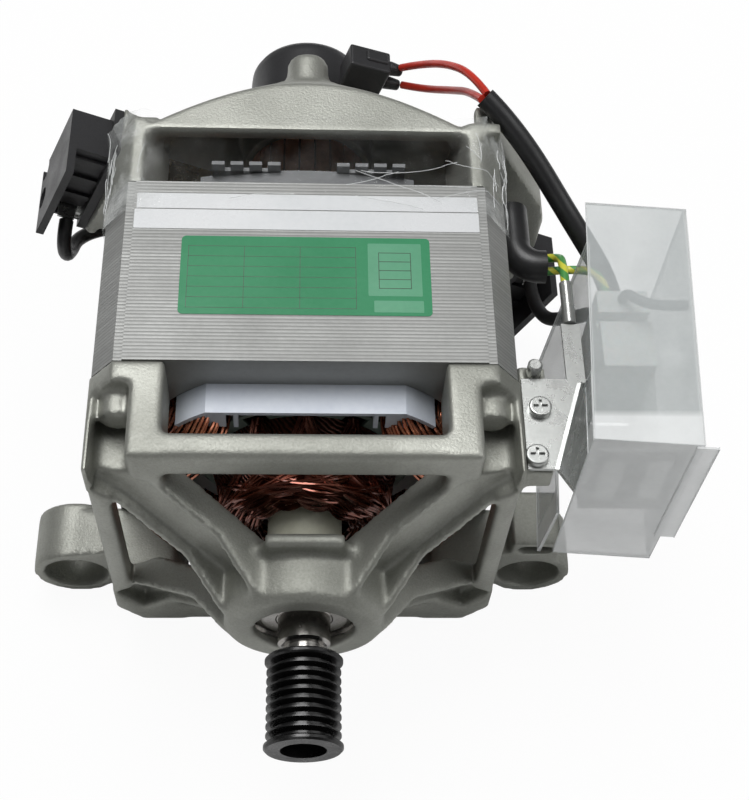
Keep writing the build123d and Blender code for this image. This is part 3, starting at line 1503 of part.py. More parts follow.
save(lead(red_wire_upper_points, red_wire_radius, "red_wire_upper"), "red_wire_upper")
save(lead(red_wire_lower_points, red_wire_radius, "red_wire_lower"), "red_wire_lower")
save(lead(harness_points, harness_radius, "harness_sleeve"), "harness_sleeve")
save(lead(left_lead_points, brush_lead_radius, "left_brush_lead"), "left_brush_lead")
save(lead(right_lead_points, brush_lead_radius, "right_brush_lead"), "right_brush_lead")
save(lead(earth_wire_points, earth_wire_radius, "earth_wire"), "earth_wire")
save(lead(earth_link_points, earth_wire_radius, "earth_link_wire"), "earth_link_wire")
save(lead(grey_lead_points, grey_lead_radius, "grey_lead"), "grey_lead")
save(lead(field_lead_points, earth_wire_radius, "field_lead"), "field_lead")
with BuildPart() as wiring_tube:
    add(lead(tube_points, tube_radius, "wiring_tube", tube_bend))
    add(lead(tube_points, tube_radius - tube_wall, "wiring_tube bore", tube_bend), mode=Mode.SUBTRACT)
save(wiring_tube.part, "wiring_tube")
with BuildPart() as earth_terminal:
    with BuildSketch(cross_plane(crimp_front + crimp_length)):
        with Locations((crimp_x, crimp_z)):
            Circle(crimp_radius)
    extrude(amount=crimp_length)
save(earth_terminal.part, "earth_terminal")
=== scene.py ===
import bpy
import bmesh
import random
from math import cos, dist, pi, radians, sin
from mathutils import Matrix, Vector, noise


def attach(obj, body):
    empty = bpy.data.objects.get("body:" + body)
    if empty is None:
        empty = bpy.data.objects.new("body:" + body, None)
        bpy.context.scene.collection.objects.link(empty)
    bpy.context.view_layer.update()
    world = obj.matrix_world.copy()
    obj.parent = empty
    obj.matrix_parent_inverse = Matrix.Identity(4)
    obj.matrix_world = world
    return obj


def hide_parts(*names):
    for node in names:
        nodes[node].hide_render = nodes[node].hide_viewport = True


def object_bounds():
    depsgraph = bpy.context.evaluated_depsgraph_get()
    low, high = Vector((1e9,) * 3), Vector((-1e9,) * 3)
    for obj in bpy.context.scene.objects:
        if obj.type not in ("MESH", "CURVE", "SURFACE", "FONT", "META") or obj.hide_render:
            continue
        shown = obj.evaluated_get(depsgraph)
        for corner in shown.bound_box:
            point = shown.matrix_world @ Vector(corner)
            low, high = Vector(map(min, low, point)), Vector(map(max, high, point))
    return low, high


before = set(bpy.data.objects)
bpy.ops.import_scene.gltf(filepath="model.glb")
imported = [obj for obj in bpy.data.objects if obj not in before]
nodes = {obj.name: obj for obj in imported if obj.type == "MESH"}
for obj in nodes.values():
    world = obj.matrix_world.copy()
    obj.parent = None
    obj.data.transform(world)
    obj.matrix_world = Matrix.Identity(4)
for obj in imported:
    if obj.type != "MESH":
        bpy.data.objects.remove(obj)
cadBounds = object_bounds()
scene = bpy.context.scene
mm = 0.001
frameBody = "motor_frame"
rotorBody = "rotor"
weldDistance = 0.002 * mm
print("stage: frame loaded")


def addObject(name, data):
    added = bpy.data.objects.new(name, data)
    scene.collection.objects.link(added)
    return added


# Camera, at the photograph's angle
cameraValues = {
    "place": (-0.00117, -0.10753, 0.34658),
    "right": (0.998666, -0.019445, 0.047829),
    "up": (-0.007989, 0.857013, 0.515233),
    "back": (-0.051009, -0.514928, 0.855715),
    "lens": 64.35,
    "sensor": 36,
    "nearest": 0.01,
}
cameraData = bpy.data.cameras.new("camera")
cameraData.lens = cameraValues["lens"]
cameraData.sensor_width = cameraValues["sensor"]
cameraData.clip_start = cameraValues["nearest"]
camera = addObject("camera", cameraData)
turn = Matrix([cameraValues[side] for side in ("right", "up", "back")]).transposed().to_4x4()
camera.matrix_world = Matrix.Translation(cameraValues["place"]) @ turn
scene.camera = camera
scene.view_settings.view_transform = "Standard"


# Node helpers: a value is a number, a colour or another node's output
def setInputs(tree, sockets, values):
    for label, value in values.items():
        if isinstance(value, bpy.types.NodeSocket):
            tree.links.new(value, sockets[label])
        else:
            sockets[label].default_value = value


# A new node's outputs
def addNode(tree, kind, inputs=None, **settings):
    node = tree.nodes.new(kind)
    for label, value in settings.items():
        setattr(node, label, value)
    setInputs(tree, node.inputs, inputs or {})
    return node.outputs


def addSocket(tree, label, direction, kind):
    return tree.interface.new_socket(name=label, in_out=direction, socket_type="NodeSocket" + kind)


def mathNode(tree, operation, *values):
    return addNode(tree, "ShaderNodeMath", dict(enumerate(values)), operation=operation)[0]


def noiseNode(tree, vector, scale, detail, roughness=0.55):
    inputs = {"Vector": vector, "Scale": scale, "Detail": detail, "Roughness": roughness}
    return addNode(tree, "ShaderNodeTexNoise", inputs)["Fac"]


def mapNode(tree, value, low, high, outLow=0.0, outHigh=1.0):
    inputs = {"Value": value, "From Min": low, "From Max": high, "To Min": outLow, "To Max": outHigh}
    return addNode(tree, "ShaderNodeMapRange", inputs)["Result"]


# Inputs 0, 6 and 7 are a colour mix's factor and its two colours, output 2 the mixed one
def mixNode(tree, factor, first, second):
    return addNode(tree, "ShaderNodeMix", {0: factor, 6: first, 7: second}, data_type="RGBA")[2]


def mixShaders(tree, factor, first, second, sink):
    mixed = addNode(tree, "ShaderNodeMixShader", {0: factor, 1: first, 2: second})[0]
    tree.links.new(mixed, sink.inputs["Surface"])


def bumpNode(tree, height, distance, strength=1.0):
    inputs = {"Strength": strength, "Distance": distance, "Height": height}
    return addNode(tree, "ShaderNodeBump", inputs)["Normal"]


def objectPlace(tree):
    return addNode(tree, "ShaderNodeTexCoord")["Object"]


def axisOf(tree, vector, axis):
    return addNode(tree, "ShaderNodeSeparateXYZ", {0: vector})[axis]


def diagonalWave(tree, inputs):
    inputs = {"Vector": objectPlace(tree), **inputs}
    return addNode(tree, "ShaderNodeTexWave", inputs, bands_direction="DIAGONAL")["Fac"]


# The larger of two kinds of light ray, 0 or 1
def raySeen(tree, first, second):
    path = addNode(tree, "ShaderNodeLightPath")
    return mathNode(tree, "MAXIMUM", path[first], path[second])


def newGroup(name, inputs, outputs):
    group = bpy.data.node_groups.new(name, "ShaderNodeTree")
    for label, value in inputs.items():
        addSocket(group, label, "INPUT", "Color" if isinstance(value, tuple) else "Float").default_value = value
    for label, kind in outputs.items():
        addSocket(group, label, "OUTPUT", kind)
    return group, addNode(group, "NodeGroupInput"), group.nodes.new("NodeGroupOutput").inputs


# Mottled colour, uneven gloss and fine grain, which every finish has
grainValues = {"patch": (0.38, 0.66), "patchDetail": 5.0, "patchShare": 0.65, "speck": (0.35, 0.7),
    "speckDetail": 4.0, "speckRoughness": 0.6, "speckShare": 0.35, "bump": 0.8}


def buildGrain(values):
    group, source, sink = newGroup("surfaceGrain", {"Colour": (0.5, 0.5, 0.5, 1), "Dark": (0.3, 0.3, 0.3, 1),
        "Mottle Scale": 60.0, "Grain Scale": 900.0, "Grain Depth": 0.0001, "Roughness": 0.5, "Spread": 0.15},
        {"Colour": "Color", "Roughness": "Float", "Normal": "Vector"})
    place = objectPlace(group)
    broad = noiseNode(group, place, source["Mottle Scale"], values["patchDetail"])
    fine = noiseNode(group, place, source["Grain Scale"], values["speckDetail"], values["speckRoughness"])
    patch = mathNode(group, "MULTIPLY", mapNode(group, broad, *values["patch"]), values["patchShare"])
    speck = mathNode(group, "MULTIPLY", mapNode(group, fine, *values["speck"]), values["speckShare"])
    blend = mathNode(group, "ADD", patch, speck)
    swing = mathNode(group, "SUBTRACT", blend, 0.5)
    setInputs(group, sink, {
        "Colour": mixNode(group, blend, source["Colour"], source["Dark"]),
        "Roughness": mathNode(group, "MULTIPLY_ADD", swing, source["Spread"], source["Roughness"]),
        "Normal": bumpNode(group, fine, source["Grain Depth"], values["bump"]),
    })
    return group


# Edges of stacked sheets, each a little darker or lower than the next
sheetValues = {"wobbleScale": 14.0, "wobbleDetail": 2.0, "wobble": 0.0005, "gapShare": 0.55, "darkest": 0.62,
    "lowest": 0.5}


def buildSheets(values):
    group, source, sink = newGroup("sheetEdges", {"Pitch": 0.001, "Depth": 0.0001},
        {"Shade": "Float", "Normal": "Vector"})
    place = objectPlace(group)
    wobble = noiseNode(group, place, values["wobbleScale"], values["wobbleDetail"])
    shift = mathNode(group, "MULTIPLY", mathNode(group, "SUBTRACT", wobble, 0.5), values["wobble"])
    moved = mathNode(group, "ADD", axisOf(group, place, "Y"), shift)
    count = mathNode(group, "DIVIDE", moved, source["Pitch"])
    sheet = mathNode(group, "FLOOR", count)
    chance = addNode(group, "ShaderNodeTexWhiteNoise", {"W": sheet}, noise_dimensions="1D")["Value"]
    part = mathNode(group, "FRACT", count)
    rest = mathNode(group, "SUBTRACT", 1.0, part)
    ridge = mathNode(group, "MULTIPLY", rest, mathNode(group, "MULTIPLY", part, 4.0))
    gap = mapNode(group, ridge, 0.0, values["gapShare"])
    shade = mathNode(group, "MULTIPLY", gap, mapNode(group, chance, 0.0, 1.0, values["darkest"]))
    height = mathNode(group, "MULTIPLY", ridge, mapNode(group, chance, 0.0, 1.0, values["lowest"]))
    setInputs(group, sink, {"Shade": shade, "Normal": bumpNode(group, height, source["Depth"])})
    return group


grainGroup = buildGrain(grainValues)
sheetGroup = buildSheets(sheetValues)


# Kinds of finish
def startMaterial(name, values):
    material = bpy.data.materials.new(name)
    material.use_nodes = True
    tree = material.node_tree
    shader = tree.nodes["Principled BSDF"].inputs
    grain = addNode(tree, "ShaderNodeGroup", {"Colour": (*values["colour"], 1), "Dark": (*values["dark"], 1),
        "Mottle Scale": values["mottle"], "Grain Scale": values["grain"], "Grain Depth": values["depth"],
        "Roughness": values["rough"], "Spread": values["spread"]}, node_tree=grainGroup)
    setInputs(tree, shader, {"Base Color": grain["Colour"], "Roughness": grain["Roughness"],
        "Normal": grain["Normal"], "Metallic": values["metal"], "IOR": values["ior"], **values["more"]})
    return material, tree, shader, grain["Colour"]


def plainMaterial(name, values):
    return startMaterial(name, values)[0]


def steelSheets(name, values):
    material, tree, shader, colour = startMaterial(name, values)
    sheets = addNode(tree, "ShaderNodeGroup", {"Pitch": values["pitch"], "Depth": values["sheetDepth"]},
        node_tree=sheetGroup)
    shaded = mixNode(tree, sheets["Shade"], (*values["gapColour"], 1), colour)
    setInputs(tree, shader, {"Base Color": shaded, "Normal": sheets["Normal"]})
    return material


def stripedWire(name, values):
    material, tree, shader, colour = startMaterial(name, values)
    band = mapNode(tree, diagonalWave(tree, values["wave"]), *values["bandEdge"])
    setInputs(tree, shader, {"Base Color": mixNode(tree, band, colour, (*values["bandColour"], 1))})
    return material


def woundCore(name, values):
    material, tree, shader, colour = startMaterial(name, values)
    wave = diagonalWave(tree, values["wave"])
    strand = mapNode(tree, wave, *values["strandEdge"])
    setInputs(tree, shader, {"Base Color": mixNode(tree, strand, (*values["gapColour"], 1), colour),
        "Normal": bumpNode(tree, wave, values["strandDepth"])})
    return material


# Clear film: noise gives its haze, and it hardly dims the light that passes through it
filmValues = {"hazeDetail": 6.0, "hazeRoughness": 0.62, "clearEdge": 0.012, "clearHaze": 0.04, "paintedLightWallEdge": 0.001,
    "lightPassed": 0.85}


def clearSheet(name, values):
    material, tree, shader, colour = startMaterial(name, values)
    place = objectPlace(tree)
    haze = noiseNode(tree, place, values["hazeScale"], filmValues["hazeDetail"], filmValues["hazeRoughness"])
    amount = mapNode(tree, haze, *values["haze"], values["clearest"], values["haziest"])
    if "clearWithin" in values:
        side = mathNode(tree, "ABSOLUTE", axisOf(tree, place, "X"))
        edge = values["clearWithin"]
        ends = mapNode(tree, side, edge, edge + filmValues["clearEdge"], filmValues["clearHaze"])
        amount = mathNode(tree, "MULTIPLY", amount, ends)
    # On the cover's front wall the film is painted paler and hazier: painted light for the bright surround that it
    # reflects and scatters
    if "paintedLightFrontWall" in values:
        edge, soft = values["paintedLightFrontWall"], filmValues["paintedLightWallEdge"]
        front = mapNode(tree, axisOf(tree, place, "Y"), edge - soft, edge + soft, 1.0, 0.0)
        amount = mathNode(tree, "MULTIPLY_ADD", front, values["paintedLightFrontHaze"], amount)
        setInputs(tree, shader, {"Base Color": mixNode(tree, front, colour, (*values["paintedLightFrontColour"], 1))})
    passing = raySeen(tree, "Is Shadow Ray", "Is Diffuse Ray")
    keep = mathNode(tree, "MULTIPLY_ADD", passing, -filmValues["lightPassed"], 1.0)
    setInputs(tree, shader, {"Alpha": mathNode(tree, "MULTIPLY", amount, keep)})
    return material


# What a finish has where it doesn't say otherwise
usualFinish = {"make": plainMaterial, "nodes": (), "mottle": 120.0, "grain": 900.0, "depth": 0.00002,
    "rough": 0.42, "spread": 0.1, "metal": 0.0, "ior": 1.5, "more": {}}

# Finishes, each with its record slot and the CAD nodes that wear it
finishes = {
    "castAluminium": {"slot": "cast_aluminium", "nodes": ("front_bracket", "rear_bracket"),
        "colour": (0.385, 0.39, 0.355), "dark": (0.27, 0.275, 0.245), "mottle": 38, "grain": 1500, "depth": 0.00016,
        "rough": 0.52, "spread": 0.16, "metal": 0.72},
    "laminations": {"make": steelSheets, "slot": "lamination_steel", "nodes": ("stator_core",),
        "colour": (0.32, 0.325, 0.315), "dark": (0.265, 0.27, 0.26), "mottle": 30, "grain": 700, "depth": 0.00004,
        "rough": 0.48, "spread": 0.12, "pitch": 0.00105, "sheetDepth": 0.00006, "gapColour": (0.17, 0.17, 0.165),
        "metal": 0.35},
    "rotorSteel": {"make": steelSheets, "slot": "lamination_steel", "nodes": ("armature_core",),
        "colour": (0.33, 0.33, 0.32), "dark": (0.2, 0.2, 0.19), "mottle": 50, "grain": 600, "depth": 0.00004,
        "rough": 0.36, "spread": 0.15, "pitch": 0.0008, "sheetDepth": 0.0001, "gapColour": (0.05, 0.05, 0.05),
        "metal": 0.9},
    "groundSteel": {"slot": "shaft_steel", "nodes": ("shaft", "front_bearing_outer_race",
        "front_bearing_inner_race", "front_bearing_balls", "rear_bearing_outer_race", "rear_bearing_inner_race",
        "rear_bearing_balls", "rear_spring_washer"), "colour": (0.46, 0.45, 0.43), "dark": (0.28, 0.26, 0.24),
        "grain": 1400, "rough": 0.24, "spread": 0.14, "metal": 1.0},
    "blackenedSteel": {"slot": "pulley_steel", "nodes": ("belt_pulley",), "colour": (0.05, 0.05, 0.05),
        "dark": (0.022, 0.022, 0.022), "mottle": 140, "grain": 1600, "depth": 0.00003, "rough": 0.3, "spread": 0.2,
        "metal": 0.85},
    "boltSteel": {"slot": "pulley_steel", "nodes": ("through_bolts",), "colour": (0.34, 0.33, 0.29),
        "dark": (0.2, 0.19, 0.17), "mottle": 160, "grain": 1200, "depth": 0.00003, "rough": 0.38, "spread": 0.2,
        "metal": 0.9},
    "zinc": {"slot": "galvanised_steel", "nodes": ("connector_bracket", "bracket_screws", "bracket_stud",
        "holder_screws", "left_brush_spring", "right_brush_spring", "left_brush_terminal", "right_brush_terminal",
        "earth_terminal"), "colour": (0.52, 0.53, 0.515), "dark": (0.32, 0.33, 0.32), "mottle": 90, "grain": 420,
        "depth": 0.00003, "rough": 0.3, "spread": 0.16, "metal": 0.8},
    "copperWire": {"slot": "copper", "nodes": ("right_field_coil", "left_field_coil", "armature_winding"),
        "colour": (0.5, 0.185, 0.095), "dark": (0.3, 0.085, 0.045), "mottle": 160, "grain": 500, "rough": 0.26,
        "spread": 0.15, "metal": 0.85, "more": {"Coat Weight": 0.5, "Coat Roughness": 0.12}},
    # a darker copy of the copper for the armature's end turns: painted shade for the winding inside the frame
    "armatureCopperPaintedShade": {"slot": "copper", "colour": (0.2, 0.056, 0.032), "dark": (0.09, 0.024, 0.014), "mottle": 150,
        "grain": 500, "rough": 0.24, "spread": 0.15, "metal": 0.85,
        "more": {"Coat Weight": 0.6, "Coat Roughness": 0.1}},
    "barCopper": {"slot": "copper", "nodes": ("commutator_bars", "sensor_coil"), "colour": (0.62, 0.3, 0.17),
        "dark": (0.38, 0.17, 0.09), "mottle": 200, "rough": 0.38, "spread": 0.2, "metal": 0.5},
    # a far darker copy of the copper: painted shade for the inside of the windings
    "coilCorePaintedShade": {"make": woundCore, "slot": "copper", "colour": (0.14, 0.04, 0.023), "dark": (0.07, 0.02, 0.012),
        "mottle": 200, "grain": 700, "depth": 0.00003, "rough": 0.34, "spread": 0.12, "strandDepth": 0.0004,
        "gapColour": (0.035, 0.011, 0.007), "metal": 0.6,
        "wave": {"Scale": 330.0, "Distortion": 9.0, "Detail": 3.0, "Detail Scale": 0.5}, "strandEdge": (0.15, 0.8)},
    "carbon": {"slot": "carbon", "nodes": ("left_brush", "right_brush", "sensor_magnet"),
        "colour": (0.035, 0.035, 0.037), "dark": (0.018, 0.018, 0.018), "mottle": 200, "grain": 1500,
        "depth": 0.00004, "rough": 0.6, "metal": 0.1},
    "blackPlastic": {"slot": "black_plastic", "nodes": ("sensor_cap", "sensor_boots", "left_brush_holder",
        "right_brush_holder", "thermal_protector"), "colour": (0.026, 0.026, 0.028), "dark": (0.014, 0.014, 0.015),
        "mottle": 70, "grain": 1500, "depth": 0.00005, "rough": 0.46, "spread": 0.16, "ior": 1.48},
    "whitePlastic": {"slot": "white_plastic", "nodes": ("connector_block", "commutator_hub"),
        "colour": (0.66, 0.68, 0.66), "dark": (0.56, 0.58, 0.56), "mottle": 60, "grain": 1100, "depth": 0.00003,
        "ior": 1.48, "more": {"Subsurface Weight": 0.15, "Subsurface Scale": 0.002}},
    "liner": {"slot": "white_plastic", "nodes": ("front_slot_insulators",), "colour": (0.62, 0.66, 0.72),
        "dark": (0.52, 0.56, 0.64), "mottle": 45, "grain": 500, "depth": 0.00003, "rough": 0.38},
    "greyLiner": {"slot": "white_plastic", "nodes": ("rear_slot_insulators",), "colour": (0.17, 0.175, 0.18),
        "dark": (0.12, 0.125, 0.13), "mottle": 70, "grain": 800, "depth": 0.00004, "rough": 0.45},
    "ivoryPlastic": {"slot": "white_plastic", "nodes": ("shaft_sleeve",), "colour": (0.62, 0.62, 0.5),
        "dark": (0.5, 0.5, 0.4), "mottle": 90, "depth": 0.00004, "rough": 0.45, "ior": 1.48},
    "discInsulation": {"slot": "insulation", "nodes": ("armature_end_discs",), "colour": (0.16, 0.2, 0.17),
        "dark": (0.1, 0.13, 0.11), "mottle": 80, "depth": 0.00003, "rough": 0.35},
    "redWire": {"slot": "red_wire", "nodes": ("red_wire_upper", "red_wire_lower"), "colour": (0.58, 0.035, 0.018),
        "dark": (0.44, 0.024, 0.012), "mottle": 150, "rough": 0.34},
    "blackSleeve": {"slot": "black_sleeve",
        "nodes": ("harness_sleeve", "left_brush_lead", "right_brush_lead", "wiring_tube"),
        "colour": (0.02, 0.02, 0.021), "dark": (0.011, 0.011, 0.012), "depth": 0.00005, "rough": 0.4,
        "spread": 0.16},
    "greySleeve": {"slot": "black_sleeve", "nodes": ("grey_lead",), "colour": (0.11, 0.115, 0.12),
        "dark": (0.07, 0.075, 0.08), "depth": 0.00004},
    "earthWire": {"make": stripedWire, "slot": "earth_wire", "nodes": ("earth_wire", "earth_link_wire"),
        "colour": (0.07, 0.3, 0.07), "dark": (0.05, 0.22, 0.05), "mottle": 150, "rough": 0.36,
        "bandColour": (0.62, 0.6, 0.06), "wave": {"Scale": 120.0, "Distortion": 1.0}, "bandEdge": (0.55, 0.62)},
    "brass": {"slot": "brass_parts", "nodes": ("connector_pins", "left_brush_guide", "right_brush_guide"),
        "colour": (0.62, 0.5, 0.28), "dark": (0.42, 0.32, 0.16), "mottle": 180, "rough": 0.28, "spread": 0.15,
        "metal": 1.0},
    "coverSheet": {"make": clearSheet, "slot": "clear_sheet", "nodes": ("clear_cover",),
        "colour": (0.56, 0.59, 0.59), "dark": (0.48, 0.51, 0.51), "mottle": 12, "grain": 90, "depth": 0.00012,
        "rough": 0.12, "spread": 0.06, "hazeScale": 24.0, "haze": (0.35, 0.75), "clearest": 0.4, "haziest": 0.62,
        # the front wall's paler, hazier film is painted light
        "paintedLightFrontWall": 0.0725, "paintedLightFrontHaze": 0.15, "paintedLightFrontColour": (0.86, 0.88, 0.88)},
    "tapeFilm": {"make": clearSheet, "slot": "clear_sheet", "colour": (0.62, 0.64, 0.62), "dark": (0.5, 0.52, 0.51),
        "mottle": 40, "grain": 120, "depth": 0.0003, "rough": 0.07, "spread": 0.04, "hazeScale": 55.0,
        "haze": (0.46, 0.72), "clearest": 0.04, "haziest": 0.62, "clearWithin": 0.038},
    # pale, hazy film for lines along folds and creases: painted highlight
    "paintedHighlightLines": {"make": clearSheet, "slot": "clear_sheet", "colour": (0.8, 0.82, 0.82), "dark": (0.7, 0.72, 0.72),
        "mottle": 60, "grain": 300, "rough": 0.15, "spread": 0.05, "hazeScale": 60.0, "haze": (0.35, 0.7),
        "clearest": 0.45, "haziest": 0.85},
    "greenLabel": {"slot": "insulation", "colour": (0.018, 0.235, 0.095), "dark": (0.013, 0.205, 0.08),
        "mottle": 30, "grain": 700, "spread": 0.12, "more": {"Specular IOR Level": 0.3}},
    "labelPale": {"slot": "insulation", "colour": (0.055, 0.3, 0.15), "dark": (0.045, 0.26, 0.13), "mottle": 40,
        "grain": 700, "rough": 0.34},
    "labelInk": {"slot": "black_plastic", "colour": (0.02, 0.085, 0.045), "dark": (0.015, 0.06, 0.03),
        "mottle": 200, "depth": 0.00001, "rough": 0.4},
    "whiteSticker": {"slot": "white_plastic", "colour": (0.66, 0.67, 0.68), "dark": (0.58, 0.6, 0.61), "mottle": 25,
        "grain": 600, "rough": 0.3},
}


def dress(piece, finish):
    piece.data.materials.clear()
    piece.data.materials.append(materials[finish])


materials = {}
for finishName, values in finishes.items():
    full = {**usualFinish, **values}
    materials[finishName] = full["make"](finishName, full)
    for member in full["nodes"]:
        dress(nodes[member], finishName)
print("stage: materials")


def toMetres(values):
    return [value * mm for value in values]


# Gives a piece its finish and body, and hides the CAD nodes that it stands for
def addPiece(name, data, finish, body=frameBody, replaced=()):
    piece = addObject(name, data)
    dress(piece, finish)
    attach(piece, body)
    if replaced:
        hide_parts(*replaced)
    return piece


# Free cords, each close to the route that part.py gives it
cordBuild = {"order": 3, "steps": 16, "bevel": 5}
usualCord = {"finish": "blackSleeve", "radius": 1.2, "stiffness": "limp"}


def makeCord(name, values):
    data = bpy.data.curves.new(name, "CURVE")
    data.dimensions = "3D"
    spline = data.splines.new("NURBS")
    points = values["points"]
    spline.points.add(len(points) - 1)
    for point, place in zip(spline.points, points):
        point.co = (*toMetres(place), 1)
    spline.order_u = cordBuild["order"]
    spline.use_endpoint_u = True
    data.resolution_u = cordBuild["steps"]
    data.bevel_depth = values["radius"] * mm
    data.bevel_resolution = cordBuild["bevel"]
    data.use_fill_caps = True
    cord = addPiece(name, data, values["finish"], replaced=(values["node"],))


cords = {
    "redWireUpper": {"node": "red_wire_upper", "finish": "redWire", "radius": 1.15, "length": 53.0,
        "points": [(28.6, 206.4, 23.2), (33.9, 203.2, 28.2), (40.4, 191.4, 40.8), (46.0, 178.5, 50.4),
        (49.6, 168.5, 52.6)]},
    "redWireLower": {"node": "red_wire_lower", "finish": "redWire", "radius": 1.15, "length": 57.0,
        "points": [(29.2, 205.6, 16.6), (35.4, 202.0, 18.8), (42.6, 190.0, 31.2), (46.2, 177.6, 44.0),
        (48.0, 166.5, 52.6)]},
    "harnessSleeve": {"node": "harness_sleeve", "radius": 3.1, "length": 73.7, "stiffness": "medium",
        "points": [(48.9, 167.4, 52.5), (57.9, 160.8, 47.3), (75.5, 143.0, 28.0), (86.0, 128.0, 20.0),
        (86.0, 117.0, 20.0)]},
    "leftBrushLead": {"node": "left_brush_lead", "radius": 2.1, "length": 59.4, "points": [(-69.7, 152.4, 14.0),
        (-70.3, 146.0, 12.8), (-70.4, 146.4, 3.5), (-68.6, 161.0, -2.5), (-50.5, 168.5, -7.5),
        (-42.0, 155.8, -9.0)]},
    "rightBrushLead": {"node": "right_brush_lead", "radius": 2.1, "length": 48.4, "points": [(69.7, 152.4, -14.0),
        (70.4, 138.0, -13.0), (79.0, 131.0, -2.0), (84.0, 127.0, 8.0), (84.0, 117.0, 8.0)]},
    "fieldLead": {"node": "field_lead", "points": [(40.5, 143.0, 19.9), (48.2, 149.0, 23.4), (58.4, 153.5, 25.0),
        (58.4, 146.0, 25.0)]},
    "earthLinkWire": {"node": "earth_link_wire", "finish": "earthWire", "points": [(64.0, 128.6, 24.0),
        (74.0, 129.6, 25.0), (82.0, 125.0, 29.0), (82.0, 117.0, 29.0)]},
    "earthWire": {"node": "earth_wire", "finish": "earthWire", "points": [(64.0, 131.6, 26.4), (70.0, 131.6, 27.4),
        (68.8, 122.0, 38.9), (68.8, 114.2, 38.9)]},
    "greyLead": {"node": "grey_lead", "finish": "greySleeve", "radius": 1.4, "points": [(85.5, 114.0, 32.0),
        (85.5, 114.0, 36.0), (88.0, 109.0, 38.9), (93.5, 107.0, 39.3), (100.7, 107.4, 39.3)]},
}
for cordName, values in cords.items():
    makeCord(cordName, {**usualCord, **values})
print("stage: cords")

sharpAngle = 42.0  # edges past it stay crisp on a smooth piece


# Mesh helpers
def makePiece(name, mesh, finish, body=frameBody, replaced=(), smooth=True):
    work = bmesh.new()
    work.from_mesh(mesh)
    bmesh.ops.recalc_face_normals(work, faces=work.faces)
    work.to_mesh(mesh)
    work.free()
    if smooth:
        mesh.shade_smooth()
        mesh.set_sharp_from_angle(angle=radians(sharpAngle))
    addPiece(name, mesh, finish, body, replaced)


def meshOf(name, vertices, edges=(), faces=()):
    mesh = bpy.data.meshes.new(name)
    mesh.from_pydata([tuple(vertex) for vertex in vertices], edges, faces)
    mesh.update()
    return mesh


# Rows of points joined by faces: a ring closes each row, a loop joins the last row to the first,
# and caps close both ends
def loftMesh(name, rows, ring=True, loop=False, capped=False):
    count = len(rows[0])
    faces = []
    for step in range(len(rows) if loop else len(rows) - 1):
        here, there = step * count, (step + 1) % len(rows) * count
        for index in range(count if ring else count - 1):
            after = (index + 1) % count
            faces.append((here + index, here + after, there + after, there + index))
    if capped:
        faces += [tuple(range(start, start + count)) for start in (0, (len(rows) - 1) * count)]
    return meshOf(name, [point for row in rows for point in row], faces=faces)


# A mesh after its modifiers: settings by name, and a tree's inputs by socket identifier
def settle(mesh, modifiers):
    source = addObject("shaping", mesh)
    for kind, settings in modifiers.items():
        modifier = source.modifiers.new("shape", kind)
        for label, value in settings.items():
            if label.startswith("Socket"):
                modifier[label] = value
            else:
                setattr(modifier, label, value)
    graph = bpy.context.evaluated_depsgraph_get()
    result = bpy.data.meshes.new_from_object(source.evaluated_get(graph))
    bpy.data.objects.remove(source)
    return result


def runTree(mesh, tree, finish, values):
    values["Finish"] = materials[finish]
    inputs = {item.identifier: values[item.name] for item in tree.interface.items_tree
        if item.item_type == "SOCKET" and item.in_out == "INPUT" and item.name in values}
    return settle(mesh, {"NODES": {"node_group": tree, **inputs}})


# A tree with its inputs by name and kind, and the finish as its last one
def newShapeTree(name, inputs):
    tree = bpy.data.node_groups.new(name, "GeometryNodeTree")
    tree.is_modifier = True
    for label, kind in {"Geometry": "Geometry", **inputs, "Finish": "Material"}.items():
        addSocket(tree, label, "INPUT", kind)
    addSocket(tree, "Geometry", "OUTPUT", "Geometry")
    return tree, addNode(tree, "NodeGroupInput"), tree.nodes.new("NodeGroupOutput")


# The tree's end: instances made real, and the finish set
def endTree(tree, source, sink, shape):
    plain = addNode(tree, "GeometryNodeRealizeInstances", {0: shape})[0]
    dressed = addNode(tree, "GeometryNodeSetMaterial", {0: plain, "Material": source["Finish"]})[0]
    tree.links.new(dressed, sink.inputs[0])
    return tree


# Round wire along the edges of a mesh
def wireAlong(tree, source, shape):
    path = addNode(tree, "GeometryNodeMeshToCurve", {0: shape})[0]
    circle = addNode(tree, "GeometryNodeCurvePrimitiveCircle",
        {"Resolution": source["Sides"], "Radius": source["Wire Radius"]})[0]
    inputs = {0: path, "Profile Curve": circle, "Fill Caps": True}
    return addNode(tree, "GeometryNodeCurveToMesh", inputs)[0]


def buildWireTree():
    tree, source, sink = newShapeTree("wireLoops", {"Wire Radius": "Float", "Sides": "Int"})
    return endTree(tree, source, sink, wireAlong(tree, source, source["Geometry"]))


